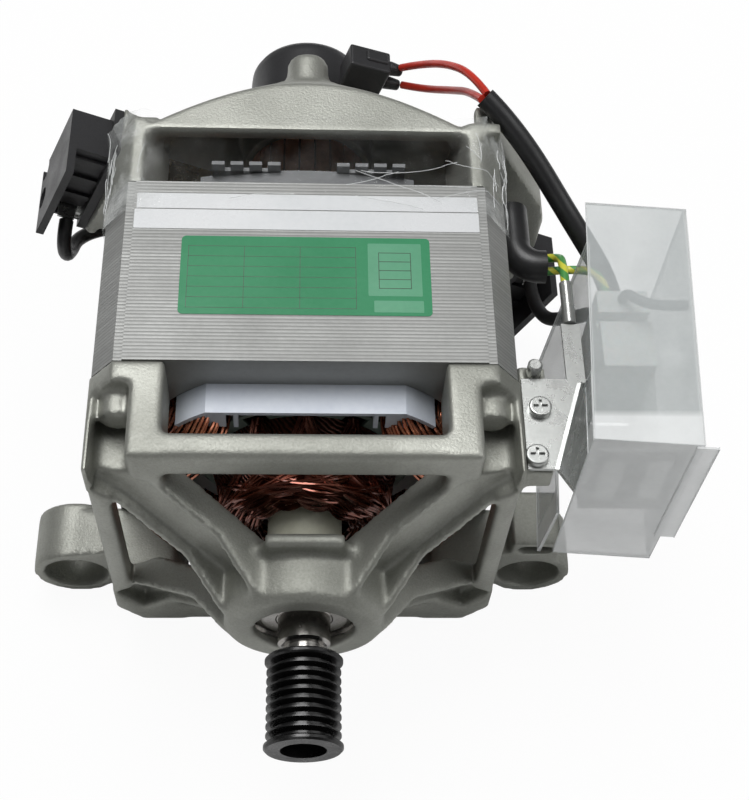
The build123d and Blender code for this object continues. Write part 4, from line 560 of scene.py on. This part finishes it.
# A bunch of wires set out once for each slot, round the shaft's axis
def buildTurnTree():
    tree, source, sink = newShapeTree("endTurns", {"Slots": "Int", "Seed": "Int", "Base": "Float",
        "Least Reach": "Float", "Wire Radius": "Float", "Sides": "Int"})
    base = addNode(tree, "ShaderNodeCombineXYZ", {1: source["Base"]})[0]
    points = addNode(tree, "GeometryNodePoints", {"Count": source["Slots"], "Position": base})[0]
    index = addNode(tree, "GeometryNodeInputIndex")[0]
    angle = mathNode(tree, "MULTIPLY", mathNode(tree, "DIVIDE", index, source["Slots"]), 2 * pi)
    turned = addNode(tree, "ShaderNodeCombineXYZ", {1: angle})[0]
    chance = addNode(tree, "FunctionNodeRandomValue", {"Seed": source["Seed"]}, data_type="FLOAT")[1]
    reach = mapNode(tree, chance, 0.0, 1.0, source["Least Reach"], 1.0)
    stretch = addNode(tree, "ShaderNodeCombineXYZ", {0: 1, 1: reach, 2: 1})[0]
    rings = addNode(tree, "GeometryNodeInstanceOnPoints", {"Points": points, "Instance": source["Geometry"],
        "Rotation": turned, "Scale": stretch})[0]
    plain = addNode(tree, "GeometryNodeRealizeInstances", {0: rings})[0]
    return endTree(tree, source, sink, wireAlong(tree, source, plain))


def buildRowTree():
    tree, source, sink = newShapeTree("rowOfBars",
        {"Count": "Int", "Start": "Vector", "Step": "Vector", "Bar Size": "Vector"})
    line = addNode(tree, "GeometryNodeMeshLine",
        {"Count": source["Count"], "Start Location": source["Start"], "Offset": source["Step"]})[0]
    bar = addNode(tree, "GeometryNodeMeshCube", {"Size": source["Bar Size"]})[0]
    bars = addNode(tree, "GeometryNodeInstanceOnPoints", {"Points": line, "Instance": bar})[0]
    return endTree(tree, source, sink, bars)


wireTree = buildWireTree()
turnTree = buildTurnTree()
rowTree = buildRowTree()
print("stage: shape trees")


# Paths of points as edges, to become wire
def pathMesh(name, paths, closed=False):
    vertices, edges = [], []
    for path in paths:
        start = len(vertices)
        vertices.extend(path)
        edges.extend((index, index + 1) for index in range(start, len(vertices) - 1))
        if closed:
            edges.append((len(vertices) - 1, start))
    return meshOf(name, vertices, edges)


def makeWires(name, paths, values, finish, closed=False, replaced=()):
    mesh = runTree(pathMesh(name, paths, closed), wireTree, finish,
        {"Wire Radius": values["wire"] * mm, "Sides": values["sides"]})
    makePiece(name, mesh, finish, replaced=replaced)


def makeRow(name, values, finish):
    bars = runTree(meshOf(name, [(0, 0, 0)]), rowTree, finish, {"Count": values["count"],
        "Start": toMetres(values["start"]), "Step": toMetres(values["step"]), "Bar Size": toMetres(values["size"])})
    makePiece(name, bars, finish, smooth=False)


def turned(angle, radius, y):
    return toMetres((radius * cos(angle), y, radius * sin(angle)))


# A closed profile of radius and y, turned about the shaft's axis
def makeTurned(name, values):
    angles = [2 * pi * step / values["sides"] for step in range(values["sides"])]
    rows = [[turned(angle, radius, y) for radius, y in values["profile"]] for angle in angles]
    mesh = loftMesh(name, rows, loop=True)
    makePiece(name, mesh, values["finish"], values["body"], values.get("replaces", ()))


def roundedOutline(left, front, right, rear, corner, steps):
    outline = []
    for x, y, start in ((right - corner, front + corner, -90), (right - corner, rear - corner, 0),
            (left + corner, rear - corner, 90), (left + corner, front + corner, 180)):
        for step in range(steps + 1):
            angle = radians(start + 90 * step / steps)
            outline.append((x + corner * cos(angle), y + corner * sin(angle)))
    return outline


def weldedCopy(mesh):
    work = bmesh.new()
    work.from_mesh(mesh)
    bmesh.ops.remove_doubles(work, verts=work.verts, dist=weldDistance)
    return work


# Castings: the CAD nodes with the soft edges that a mould leaves, and the flat lip on the bearing boss
castings = {
    "frontCasting": {"node": "front_bracket", "voxel": 0.9, "rounds": 7, "soften": 0.5,
        "lip": ((-9.9, 9.9), (43.6, 47.2), (20.0, 26.0))},
    "rearCasting": {"node": "rear_bracket", "voxel": 1.0, "rounds": 5, "soften": 0.5},
}


def makeCasting(name, values):
    mesh = nodes[values["node"]].data.copy()
    work = weldedCopy(mesh)
    if "lip" in values:
        middle = toMetres([sum(span) / 2 for span in values["lip"]])
        reach = toMetres([span[1] - span[0] for span in values["lip"]])
        placed = Matrix.Translation(middle) @ Matrix.Diagonal((*reach, 1))
        bmesh.ops.create_cube(work, size=1, matrix=placed)
    work.to_mesh(mesh)
    work.free()
    cast = settle(mesh, {"REMESH": {"mode": "VOXEL", "voxel_size": values["voxel"] * mm},
        "SMOOTH": {"factor": values["soften"], "iterations": values["rounds"]}})
    makePiece(name, cast, "castAluminium", replaced=(values["node"],))


for castingName, values in castings.items():
    makeCasting(castingName, values)
print("stage: castings")

# Speed sensor: its cap, and the plug housing that leans beside the casting's pillar
sensorCap = {"sides": 96, "finish": "blackPlastic", "body": frameBody, "replaces": ("sensor_cap",),
    "profile": [(0.2, 223.0), (15.4, 223.0), (17.0, 222.4), (17.8, 220.9), (18.0, 218.6), (18.0, 205.2),
    (16.4, 205.2), (16.4, 216.4), (0.2, 221.4)]}
sensorPlug = {"replaces": ("sensor_boots",), "centre": (17.6, 206.9, 21.6), "lean": 18.0, "size": (13.0, 8.4, 10.6),
    "ledgeShares": (0.55, 0.5, 1.12), "ledgeShiftShares": (0.16, 0.1, 0.0), "bevel": 0.7, "bevelSteps": 3,
    "bevelAngle": 50.0, "prongs": ((3.0, 4.6), (-3.0, 6.0)), "prongRadius": 2.3, "prongTip": 1.6,
    "prongSides": 20, "prongSink": 0.1}


def makeSensorPlug(name, values):
    size = Vector(values["size"])
    work = bmesh.new()
    bmesh.ops.create_cube(work, size=1)
    bmesh.ops.scale(work, vec=size, verts=work.verts)
    ledge = bmesh.ops.create_cube(work, size=1)["verts"]
    bmesh.ops.scale(work, vec=size * Vector(values["ledgeShares"]), verts=ledge)
    bmesh.ops.translate(work, vec=size * Vector(values["ledgeShiftShares"]), verts=ledge)
    for across, reach in values["prongs"]:
        prong = bmesh.ops.create_cone(work, cap_ends=True, segments=values["prongSides"],
            radius1=values["prongRadius"], radius2=values["prongTip"], depth=reach)["verts"]
        bmesh.ops.rotate(work, cent=(0, 0, 0), matrix=Matrix.Rotation(pi / 2, 3, "Y"), verts=prong)
        along = size.x / 2 + reach / 2 - values["prongSink"]
        bmesh.ops.translate(work, vec=(along, 0, across), verts=prong)
    lean = Matrix.Rotation(radians(values["lean"]), 4, "Y")
    placed = Matrix.Translation(toMetres(values["centre"])) @ lean @ Matrix.Scale(mm, 4)
    bmesh.ops.transform(work, matrix=placed, verts=work.verts)
    mesh = bpy.data.meshes.new(name)
    work.to_mesh(mesh)
    work.free()
    plug = settle(mesh, {"BEVEL": {"width": values["bevel"] * mm, "segments": values["bevelSteps"],
        "angle_limit": radians(values["bevelAngle"])}})
    makePiece(name, plug, "blackPlastic", replaced=values["replaces"], smooth=False)


makeTurned("sensorHousing", sensorCap)
makeSensorPlug("sensorPlug", sensorPlug)
print("stage: speed sensor")

# Field coils: loops of wire that go round each side pole as a saddle. Their outer loops are wire, and a few thick
# loops inside fill the core, much darker copper as painted shade. Pairs in wander and drift are a size and its
# waves.
fieldCoil = {"innerRadius": 34.9, "depth": 9.1, "innerAngle": 33.8, "spread": 22.4, "front": 79.0,
    "frontWidth": 12.4, "rear": 139.6, "rearWidth": 7.6, "layers": 10, "turns": 13, "corner": 5.0,
    "cornerGrowth": 6.0, "cornerSteps": 8, "spacing": 5.0, "wander": ((0.42, 3), (0.25, 7)),
    "drift": ((0.40, 4), (0.22, 9)), "driftShare": 0.8, "seedStep": 40,
    "skin": {"wire": 0.46, "sides": 6}, "core": {"wire": 0.92, "sides": 6},
    "coils": {"rightFieldWires": ("right_field_coil", 0.0, 11),
    "leftFieldWires": ("left_field_coil", pi, 977)}}


def saddlePath(values, middle, layer, turn, seed):
    chance = random.Random(seed)
    out = turn / (values["turns"] - 1)
    radius = values["innerRadius"] + values["depth"] * (layer / (values["layers"] - 1))
    half = radians(values["innerAngle"] + values["spread"] * out) * radius
    outline = roundedOutline(-half, values["front"] - values["frontWidth"] * out, half,
        values["rear"] + values["rearWidth"] * out, values["corner"] + values["cornerGrowth"] * out,
        values["cornerSteps"])
    dense = []
    for index, point in enumerate(outline):
        after = outline[(index + 1) % len(outline)]
        pieces = max(1, round(dist(point, after) / values["spacing"]))
        for step in range(pieces):
            share = step / pieces
            dense.append((point[0] + (after[0] - point[0]) * share, point[1] + (after[1] - point[1]) * share))
    phases = [chance.uniform(0, 2 * pi) for _ in range(4)]
    path = []
    for index, (along, y) in enumerate(dense):
        stage = 2 * pi * index / len(dense)
        wander, drift = (
            sum(size * sin(waves * stage + phase) for (size, waves), phase in zip(pairs, shifts))
            for pairs, shifts in ((values["wander"], phases[:2]), (values["drift"], phases[2:]))
        )
        place = radius + drift * values["driftShare"]
        path.append(turned(middle + (along + wander) / radius, place, y + drift))
    return path


def makeFieldCoil(name, node, middle, values, seed):
    skin, core = [], []
    for layer in range(values["layers"]):
        for turn in range(values["turns"]):
            if layer in (0, values["layers"] - 1) or turn in (0, values["turns"] - 1):
                loopSeed = seed + values["seedStep"] * layer + turn
                skin.append(saddlePath(values, middle, layer, turn, loopSeed))
            elif layer % 2 == 0 and turn % 2 == 0 or layer == 1:
                core.append(saddlePath(values, middle, layer, turn, seed))
    makeWires(name, skin, values["skin"], "copperWire", closed=True, replaced=(node,))
    makeWires(name + "Core", core, values["core"], "coilCorePaintedShade", closed=True)


for coilName, (node, middle, seed) in fieldCoil["coils"].items():
    makeFieldCoil(coilName, node, middle, fieldCoil, seed)
print("stage: field coils")

# Armature winding: each end turn leaves a slot, goes round the shaft and enters another slot. Its copper is a
# darker copy, painted shade.
armatureEnds = {"slots": 12, "span": 5, "wires": 34, "wire": 0.40, "sides": 6, "steps": 24, "slotRadius": 26.2,
    "shaftClear": 12.0, "build": 11.5, "tuck": 3.4, "leastReach": 0.94, "reachShares": (0.88, 0.12), "lean": 0.05,
    "swing": (0.03, 5), "ripple": (0.35, 7), "inPower": 0.9, "outPower": 0.55, "seed": 500, "seedStep": 7,
    "slotSeed": 5, "ends": {
        "armatureWiresFront": {"side": -1, "base": 81.6, "reach": 22.4, "replaces": ("armature_winding",)},
        "armatureWiresRear": {"side": 1, "base": 138.4, "reach": 14.2, "replaces": ()},
    }}


def endTurn(values, wire, end):
    chance = random.Random(values["seed"] + values["seedStep"] * wire + end["side"])
    sweep = 2 * pi * values["span"] / values["slots"]
    share = wire / (values["wires"] - 1)
    least, more = values["reachShares"]
    reach = end["reach"] * (least + more * chance.random())
    near = values["shaftClear"] + values["build"] * share
    phase = chance.uniform(0, 2 * pi)
    lean = chance.uniform(-values["lean"], values["lean"])
    swing, swingWaves = values["swing"]
    ripple, rippleWaves = values["ripple"]
    path = []
    for step in range(values["steps"] + 1):
        part = step / values["steps"]
        bow = sin(pi * part)
        angle = sweep * part + lean + swing * sin(swingWaves * part * pi + phase)
        inwards = (values["slotRadius"] - near) * bow ** values["inPower"]
        radius = values["slotRadius"] - values["tuck"] * share * (1 - bow) - inwards
        wave = ripple * sin(rippleWaves * part * pi + phase) * bow
        y = end["side"] * reach * bow ** values["outPower"] + wave
        path.append(turned(angle, radius, y))
    return path


def makeArmatureEnd(name, end, values):
    paths = [endTurn(values, wire, end) for wire in range(values["wires"])]
    mesh = runTree(pathMesh(name, paths), turnTree, "armatureCopperPaintedShade", {"Slots": values["slots"],
        "Seed": values["slotSeed"], "Base": end["base"] * mm, "Least Reach": values["leastReach"],
        "Wire Radius": values["wire"] * mm, "Sides": values["sides"]})
    makePiece(name, mesh, "armatureCopperPaintedShade", rotorBody, end["replaces"])


for endName, end in armatureEnds["ends"].items():
    makeArmatureEnd(endName, end, armatureEnds)

# Cores under the end turns, dark with painted shade, and the sleeve on the shaft
rotorTurned = {
    "armatureCoreFront": {"sides": 64, "finish": "coilCorePaintedShade", "body": rotorBody,
        "profile": [(9.9, 64.6), (17.0, 63.6), (21.2, 66.0), (23.9, 72.0), (24.6, 81.2), (9.9, 81.2)]},
    "armatureCoreRear": {"sides": 64, "finish": "coilCorePaintedShade", "body": rotorBody,
        "profile": [(9.9, 138.8), (24.0, 138.8), (23.2, 144.6), (18.0, 148.6), (9.9, 148.6)]},
    "shaftCollar": {"sides": 72, "finish": "ivoryPlastic", "body": rotorBody, "replaces": ("shaft_sleeve",),
        "profile": [(8.56, 49.5), (9.6, 49.5), (9.9, 50.2), (9.9, 64.0), (12.0, 67.0), (12.0, 81.0), (8.56, 81.0)]},
}
for turnedName, values in rotorTurned.items():
    makeTurned(turnedName, values)
print("stage: armature winding")

# Rating label and stickers on the stator's top flat: area is left, front, right and rear
usualPlate = {"corner": 0.4, "height": 50.12, "thick": 0.12, "finish": "whiteSticker"}
plates = {
    "ratingLabel": {"area": (-32.3, 95.6, 31.7, 120.0), "corner": 1.2, "height": 50.02, "thick": 0.10,
        "finish": "greenLabel"},
    "stickerFront": {"area": (-45.0, 122.3, 45.1, 128.6), "height": 50.02},
    "stickerRear": {"area": (-44.6, 128.9, 45.0, 133.9), "height": 50.03},
    "labelPanel": {"area": (15.6, 101.6, 29.4, 118.2), "corner": 0.3, "thick": 0.02, "finish": "labelPale"},
    "labelCode": {"area": (17.0, 96.6, 29.6, 100.2), "corner": 0.3, "thick": 0.02, "finish": "labelPale"},
}
plateCornerSteps = 6


def makePlate(name, values):
    outline = roundedOutline(*values["area"], values["corner"], plateCornerSteps)
    low = values["height"]
    rows = [[toMetres((x, y, z)) for x, y in outline] for z in (low, low + values["thick"])]
    makePiece(name, loftMesh(name, rows, capped=True), values["finish"], smooth=False)


for plateName, values in plates.items():
    makePlate(plateName, {**usualPlate, **values})

# Plain ruled lines and blank cells, with nothing written in them, and the tabs of the front liners
rules = {
    "labelRules": {"count": 7, "start": (-9.0, 97.6, 50.13), "step": (0, 3.2, 0), "size": (43.0, 0.16, 0.03)},
    "labelBars": {"count": 4, "start": (-30.4, 107.2, 50.13), "step": (14.3, 0, 0), "size": (0.16, 19.4, 0.03)},
    "panelRules": {"count": 5, "start": (22.5, 104.0, 50.15), "step": (0, 2.8, 0), "size": (8.2, 0.22, 0.03)},
    "panelBars": {"count": 2, "start": (18.4, 109.6, 50.15), "step": (8.2, 0, 0), "size": (0.22, 11.4, 0.03)},
}
linerTabs = {"count": 2, "start": (-23.4, 74.3, 34.6), "step": (46.8, 0, 0), "size": (6.6, 0.8, 6.4)}
for rowName, values in rules.items():
    makeRow(rowName, values, "labelInk")
makeRow("linerTabs", linerTabs, "liner")

# Rear slot insulators' lips, standing up behind the stator above and below, each with its row of teeth
rearLip = {"halfWidth": 29.0, "front": 138.2, "rear": 145.4, "crown": 46.8, "drop": 3.4, "rearDrop": 0.4,
    "thick": 1.3, "steps": 32, "teeth": {"Left": -24.0, "Right": 9.6}, "toothStep": 5.0, "toothCount": 4,
    "tooth": (3.4, 1.2, 4.6), "footDrop": 1.6, "footHeight": 2.6, "sides": {"rearLipUpper": 1, "rearLipLower": -1}}


def makeLip(name, values, side):
    front, rear, crown, thick = values["front"], values["rear"], values["crown"], values["thick"]
    rows = []
    for step in range(values["steps"] + 1):
        x = values["halfWidth"] * (2 * step / values["steps"] - 1)
        top = crown - values["drop"] * (x / values["halfWidth"]) ** 2
        section = (front, top), (rear, top - values["rearDrop"]), (rear, top - thick), (front, top - thick)
        rows.append([toMetres((x, y, side * z)) for y, z in section])
    makePiece(name, loftMesh(name, rows, capped=True), "greyLiner")
    across = values["toothStep"] * (values["toothCount"] - 1)
    width, deep, _ = values["tooth"]
    for label, start in values["teeth"].items():
        makeRow(name + "Teeth" + label, {"count": values["toothCount"], "start": (start, rear, side * crown),
            "step": (values["toothStep"], 0, 0), "size": values["tooth"]}, "greyLiner")
        makeRow(name + "Foot" + label, {"count": 1, "step": (0, 0, 0),
            "start": (start + across / 2, rear, side * (crown - values["footDrop"])),
            "size": (across + width, deep, values["footHeight"])}, "greyLiner")


for lipName, side in rearLip["sides"].items():
    makeLip(lipName, rearLip, side)
print("stage: labels")

# Bent edges of the clear cover, drawn as pale wire: painted highlight where they catch the light
coverEdges = {"node": "clear_cover", "least": 14.0, "angle": 35.0, "wire": 0.17, "sides": 6}


def makeCoverEdges(name, values):
    work = weldedCopy(nodes[values["node"]].data)
    paths = []
    for edge in work.edges:
        sharp = len(edge.link_faces) == 2 and edge.calc_face_angle(0) > radians(values["angle"])
        if sharp and edge.calc_length() > values["least"] * mm:
            paths.append([tuple(vertex.co) for vertex in edge.verts])
    work.free()
    makeWires(name, paths, values, "paintedHighlightLines")


makeCoverEdges("coverFoldHighlights", coverEdges)
print("stage: cover")

# Clear tape, stretched over the stator's rear edge on to the rear casting. Its folds and crinkles
# lift it more where it is over the casting.
tape = {"front": 127.5, "rear": 159.5, "edge": 138.0, "shelf": 156.6, "section": [(-54.1, 26.0), (-54.1, 41.8),
    (-47.6, 50.4), (-20.0, 50.6), (20.0, 50.6), (47.6, 50.4), (54.1, 41.8), (54.1, 28.0)], "rise": 2.0,
    "halfWidth": 54.1, "halfHeight": 50.0, "flatWithin": 47.7, "across": 150, "along": 60, "thick": 0.05,
    "least": 0.15, "overStator": 0.35, "overCasting": 1.3, "foldScale": 0.085, "foldShift": (3.1, 0, 0),
    "foldPower": 5, "foldShare": 0.6, "crinkleScales": (0.16, 0.07, 0.11), "crinkleSlant": 0.5, "crinklePower": 8,
    "crinkleShare": 0.5, "ragged": 1.6, "raggedScale": 0.08, "raggedEnds": (2.0, 9.0)}


def tapePoint(values, across, along, lift):
    section = [Vector(point) for point in values["section"]]
    lengths = [0.0]
    for first, second in zip(section, section[1:]):
        lengths.append(lengths[-1] + (second - first).length)
    u = min(max(across, 0.0), 1.0) * lengths[-1]
    index = max(i for i in range(len(section) - 1) if lengths[i] <= u + 1e-9)
    x, z = section[index].lerp(section[index + 1], (u - lengths[index]) / (lengths[index + 1] - lengths[index]))
    flat = abs(x) <= values["flatWithin"]
    out = Vector((0, 1)) if flat else Vector((x / values["halfWidth"], z / values["halfHeight"])).normalized()
    y = values["front"] + (values["rear"] - values["front"]) * along
    over = min(max((y - values["edge"]) / (values["shelf"] - values["edge"]), 0.0), 1.0)
    fold = 1 - abs(noise.noise(Vector((x, y, z)) * values["foldScale"] + Vector(values["foldShift"])))
    scales = values["crinkleScales"]
    slanted = y + values["crinkleSlant"] * x
    crinkle = 1 - abs(noise.noise(Vector((x * scales[0], slanted * scales[1], z * scales[2]))))
    folds = values["foldShare"] * fold ** values["foldPower"]
    folds += values["crinkleShare"] * crinkle ** values["crinklePower"]
    swell = values["least"] + lift + (values["overStator"] + values["overCasting"] * over) * folds
    end = values["raggedEnds"][along > 0.5]
    ragged = values["ragged"] * noise.noise(Vector((x * values["raggedScale"], end, 0))) * (along - 0.5) * 2
    return toMetres((x + out.x * swell, y + ragged, z + out.y * swell + values["rise"] * over))


def makeTape(name, values):
    columns, lines = values["across"], values["along"]
    rows = [[tapePoint(values, column / columns, line / lines, 0) for column in range(columns + 1)]
        for line in range(lines + 1)]
    film = settle(loftMesh(name, rows, ring=False), {"SOLIDIFY": {"thickness": values["thick"] * mm, "offset": 0}})
    makePiece(name, film, "tapeFilm")


makeTape("clearTape", tape)

# Creases where the tape bunches, mostly near both ends, drawn as pale wire: painted highlight along them.
# A zone has its middle and spread across the tape, its number of creases, their slant and their reach.
creases = {"seed": 8, "wire": 0.10, "sides": 5, "lift": 0.05, "steps": 18, "alongRange": (0.08, 0.72),
    "slantSpread": 0.22, "bend": 0.7, "shortest": 0.5, "acrossScale": 0.32, "alongScale": 1.5, "margin": 0.02,
    "zones": {"left": (0.10, 0.045, 24, 1.4, 0.20), "right": (0.90, 0.045, 24, 1.75, 0.20),
        "middle": (0.62, 0.16, 8, 0.10, 0.60)}}


def makeCreases(name, values):
    chance = random.Random(values["seed"])
    paths = []
    steps, margin = values["steps"], values["margin"]
    for middle, spread, count, slant, reach in values["zones"].values():
        for _ in range(count):
            across, along = chance.gauss(middle, spread), chance.uniform(*values["alongRange"])
            heading = chance.gauss(slant, values["slantSpread"])
            bend = chance.uniform(-values["bend"], values["bend"])
            length = reach * chance.uniform(values["shortest"], 1.0)
            path = []
            for step in range(steps):
                path.append(tapePoint(tape, across, min(max(along, margin), 1 - margin), values["lift"]))
                across += values["acrossScale"] * length * cos(heading) / steps
                along += values["alongScale"] * length * sin(heading) / steps
                heading += bend / steps
            paths.append(path)
    makeWires(name, paths, values, "paintedHighlightLines")


makeCreases("tapeCreaseHighlights", creases)
print("stage: tape")

# Studio: a pale floor that the camera sees as white, soft lamps and a graded surround
studio = {
    "floorSize": 6, "floorMiddle": (0, 0.1), "floorGap": 0.0002, "floorWhite": 0.95, "floorFinish": {
        "colour": (0.93, 0.93, 0.93), "dark": (0.90, 0.90, 0.90), "mottle": 3.0, "grain": 60.0, "depth": 0.0,
        "rough": 0.7, "spread": 0.05, "more": {"Specular IOR Level": 0.1}},
    "surround": 0.23, "surroundLow": (0.22, 0.225, 0.23, 1), "surroundHigh": (1.0, 1.0, 1.0, 1),
    "rise": (-0.1, 0.9), "behind": (-0.8, 0.8, 0.35),
}
lowest = min(cadBounds[0][2], 0) - studio["floorGap"]
bpy.ops.mesh.primitive_plane_add(size=studio["floorSize"], location=(*studio["floorMiddle"], lowest))
floor = bpy.context.object
floor.name = "floor"
floorMaterial, floorTree, _, _ = startMaterial("floorFinish", {**usualFinish, **studio["floorFinish"]})
seen = raySeen(floorTree, "Is Camera Ray", "Is Transmission Ray")
white = mathNode(floorTree, "MULTIPLY", seen, studio["floorWhite"])
mixShaders(floorTree, white, floorTree.nodes["Principled BSDF"].outputs[0],
    addNode(floorTree, "ShaderNodeEmission")[0], floorTree.nodes["Material Output"])
floor.data.materials.append(floorMaterial)

lamps = {
    "keyLight": {"place": (-0.18, 0.50, 1.25), "aim": (0, 0.1, 0), "size": 0.8, "power": 14.2},
    "fillLight": {"place": (0.75, 0.05, 0.75), "aim": (0, 0.1, 0), "size": 0.7, "power": 2.6},
    "frontLight": {"place": (-0.2, -0.9, 0.35), "aim": (0, 0.05, 0), "size": 0.5, "power": 0.5},
}
for lampName, values in lamps.items():
    lampData = bpy.data.lights.new(lampName, "AREA")
    lampData.size = values["size"]
    lampData.energy = values["power"]
    lamp = addObject(lampName, lampData)
    lamp.location = values["place"]
    aim = Vector(values["aim"]) - Vector(values["place"])
    lamp.rotation_euler = aim.to_track_quat("-Z", "Y").to_euler()

# The surround lights the motor by its grades, and seen by itself or through the clear sheet it is white
world = bpy.data.worlds.new("surround")
world.use_nodes = True
worldTree = world.node_tree
direction = addNode(worldTree, "ShaderNodeTexCoord")["Generated"]
rise = mapNode(worldTree, axisOf(worldTree, direction, "Z"), *studio["rise"])
behind = mapNode(worldTree, axisOf(worldTree, direction, "Y"), *studio["behind"])
graded = mathNode(worldTree, "MULTIPLY", rise, behind)
background = worldTree.nodes["Background"]
setInputs(worldTree, background.inputs, {"Strength": studio["surround"],
    "Color": mixNode(worldTree, graded, studio["surroundLow"], studio["surroundHigh"])})
backdrop = addNode(worldTree, "ShaderNodeBackground", {"Color": (1.0, 1.0, 1.0, 1), "Strength": 1.0})[0]
mixShaders(worldTree, raySeen(worldTree, "Is Camera Ray", "Is Transmission Ray"), background.outputs[0],
    backdrop, worldTree.nodes["World Output"])
scene.world = world
print("stage: studio")
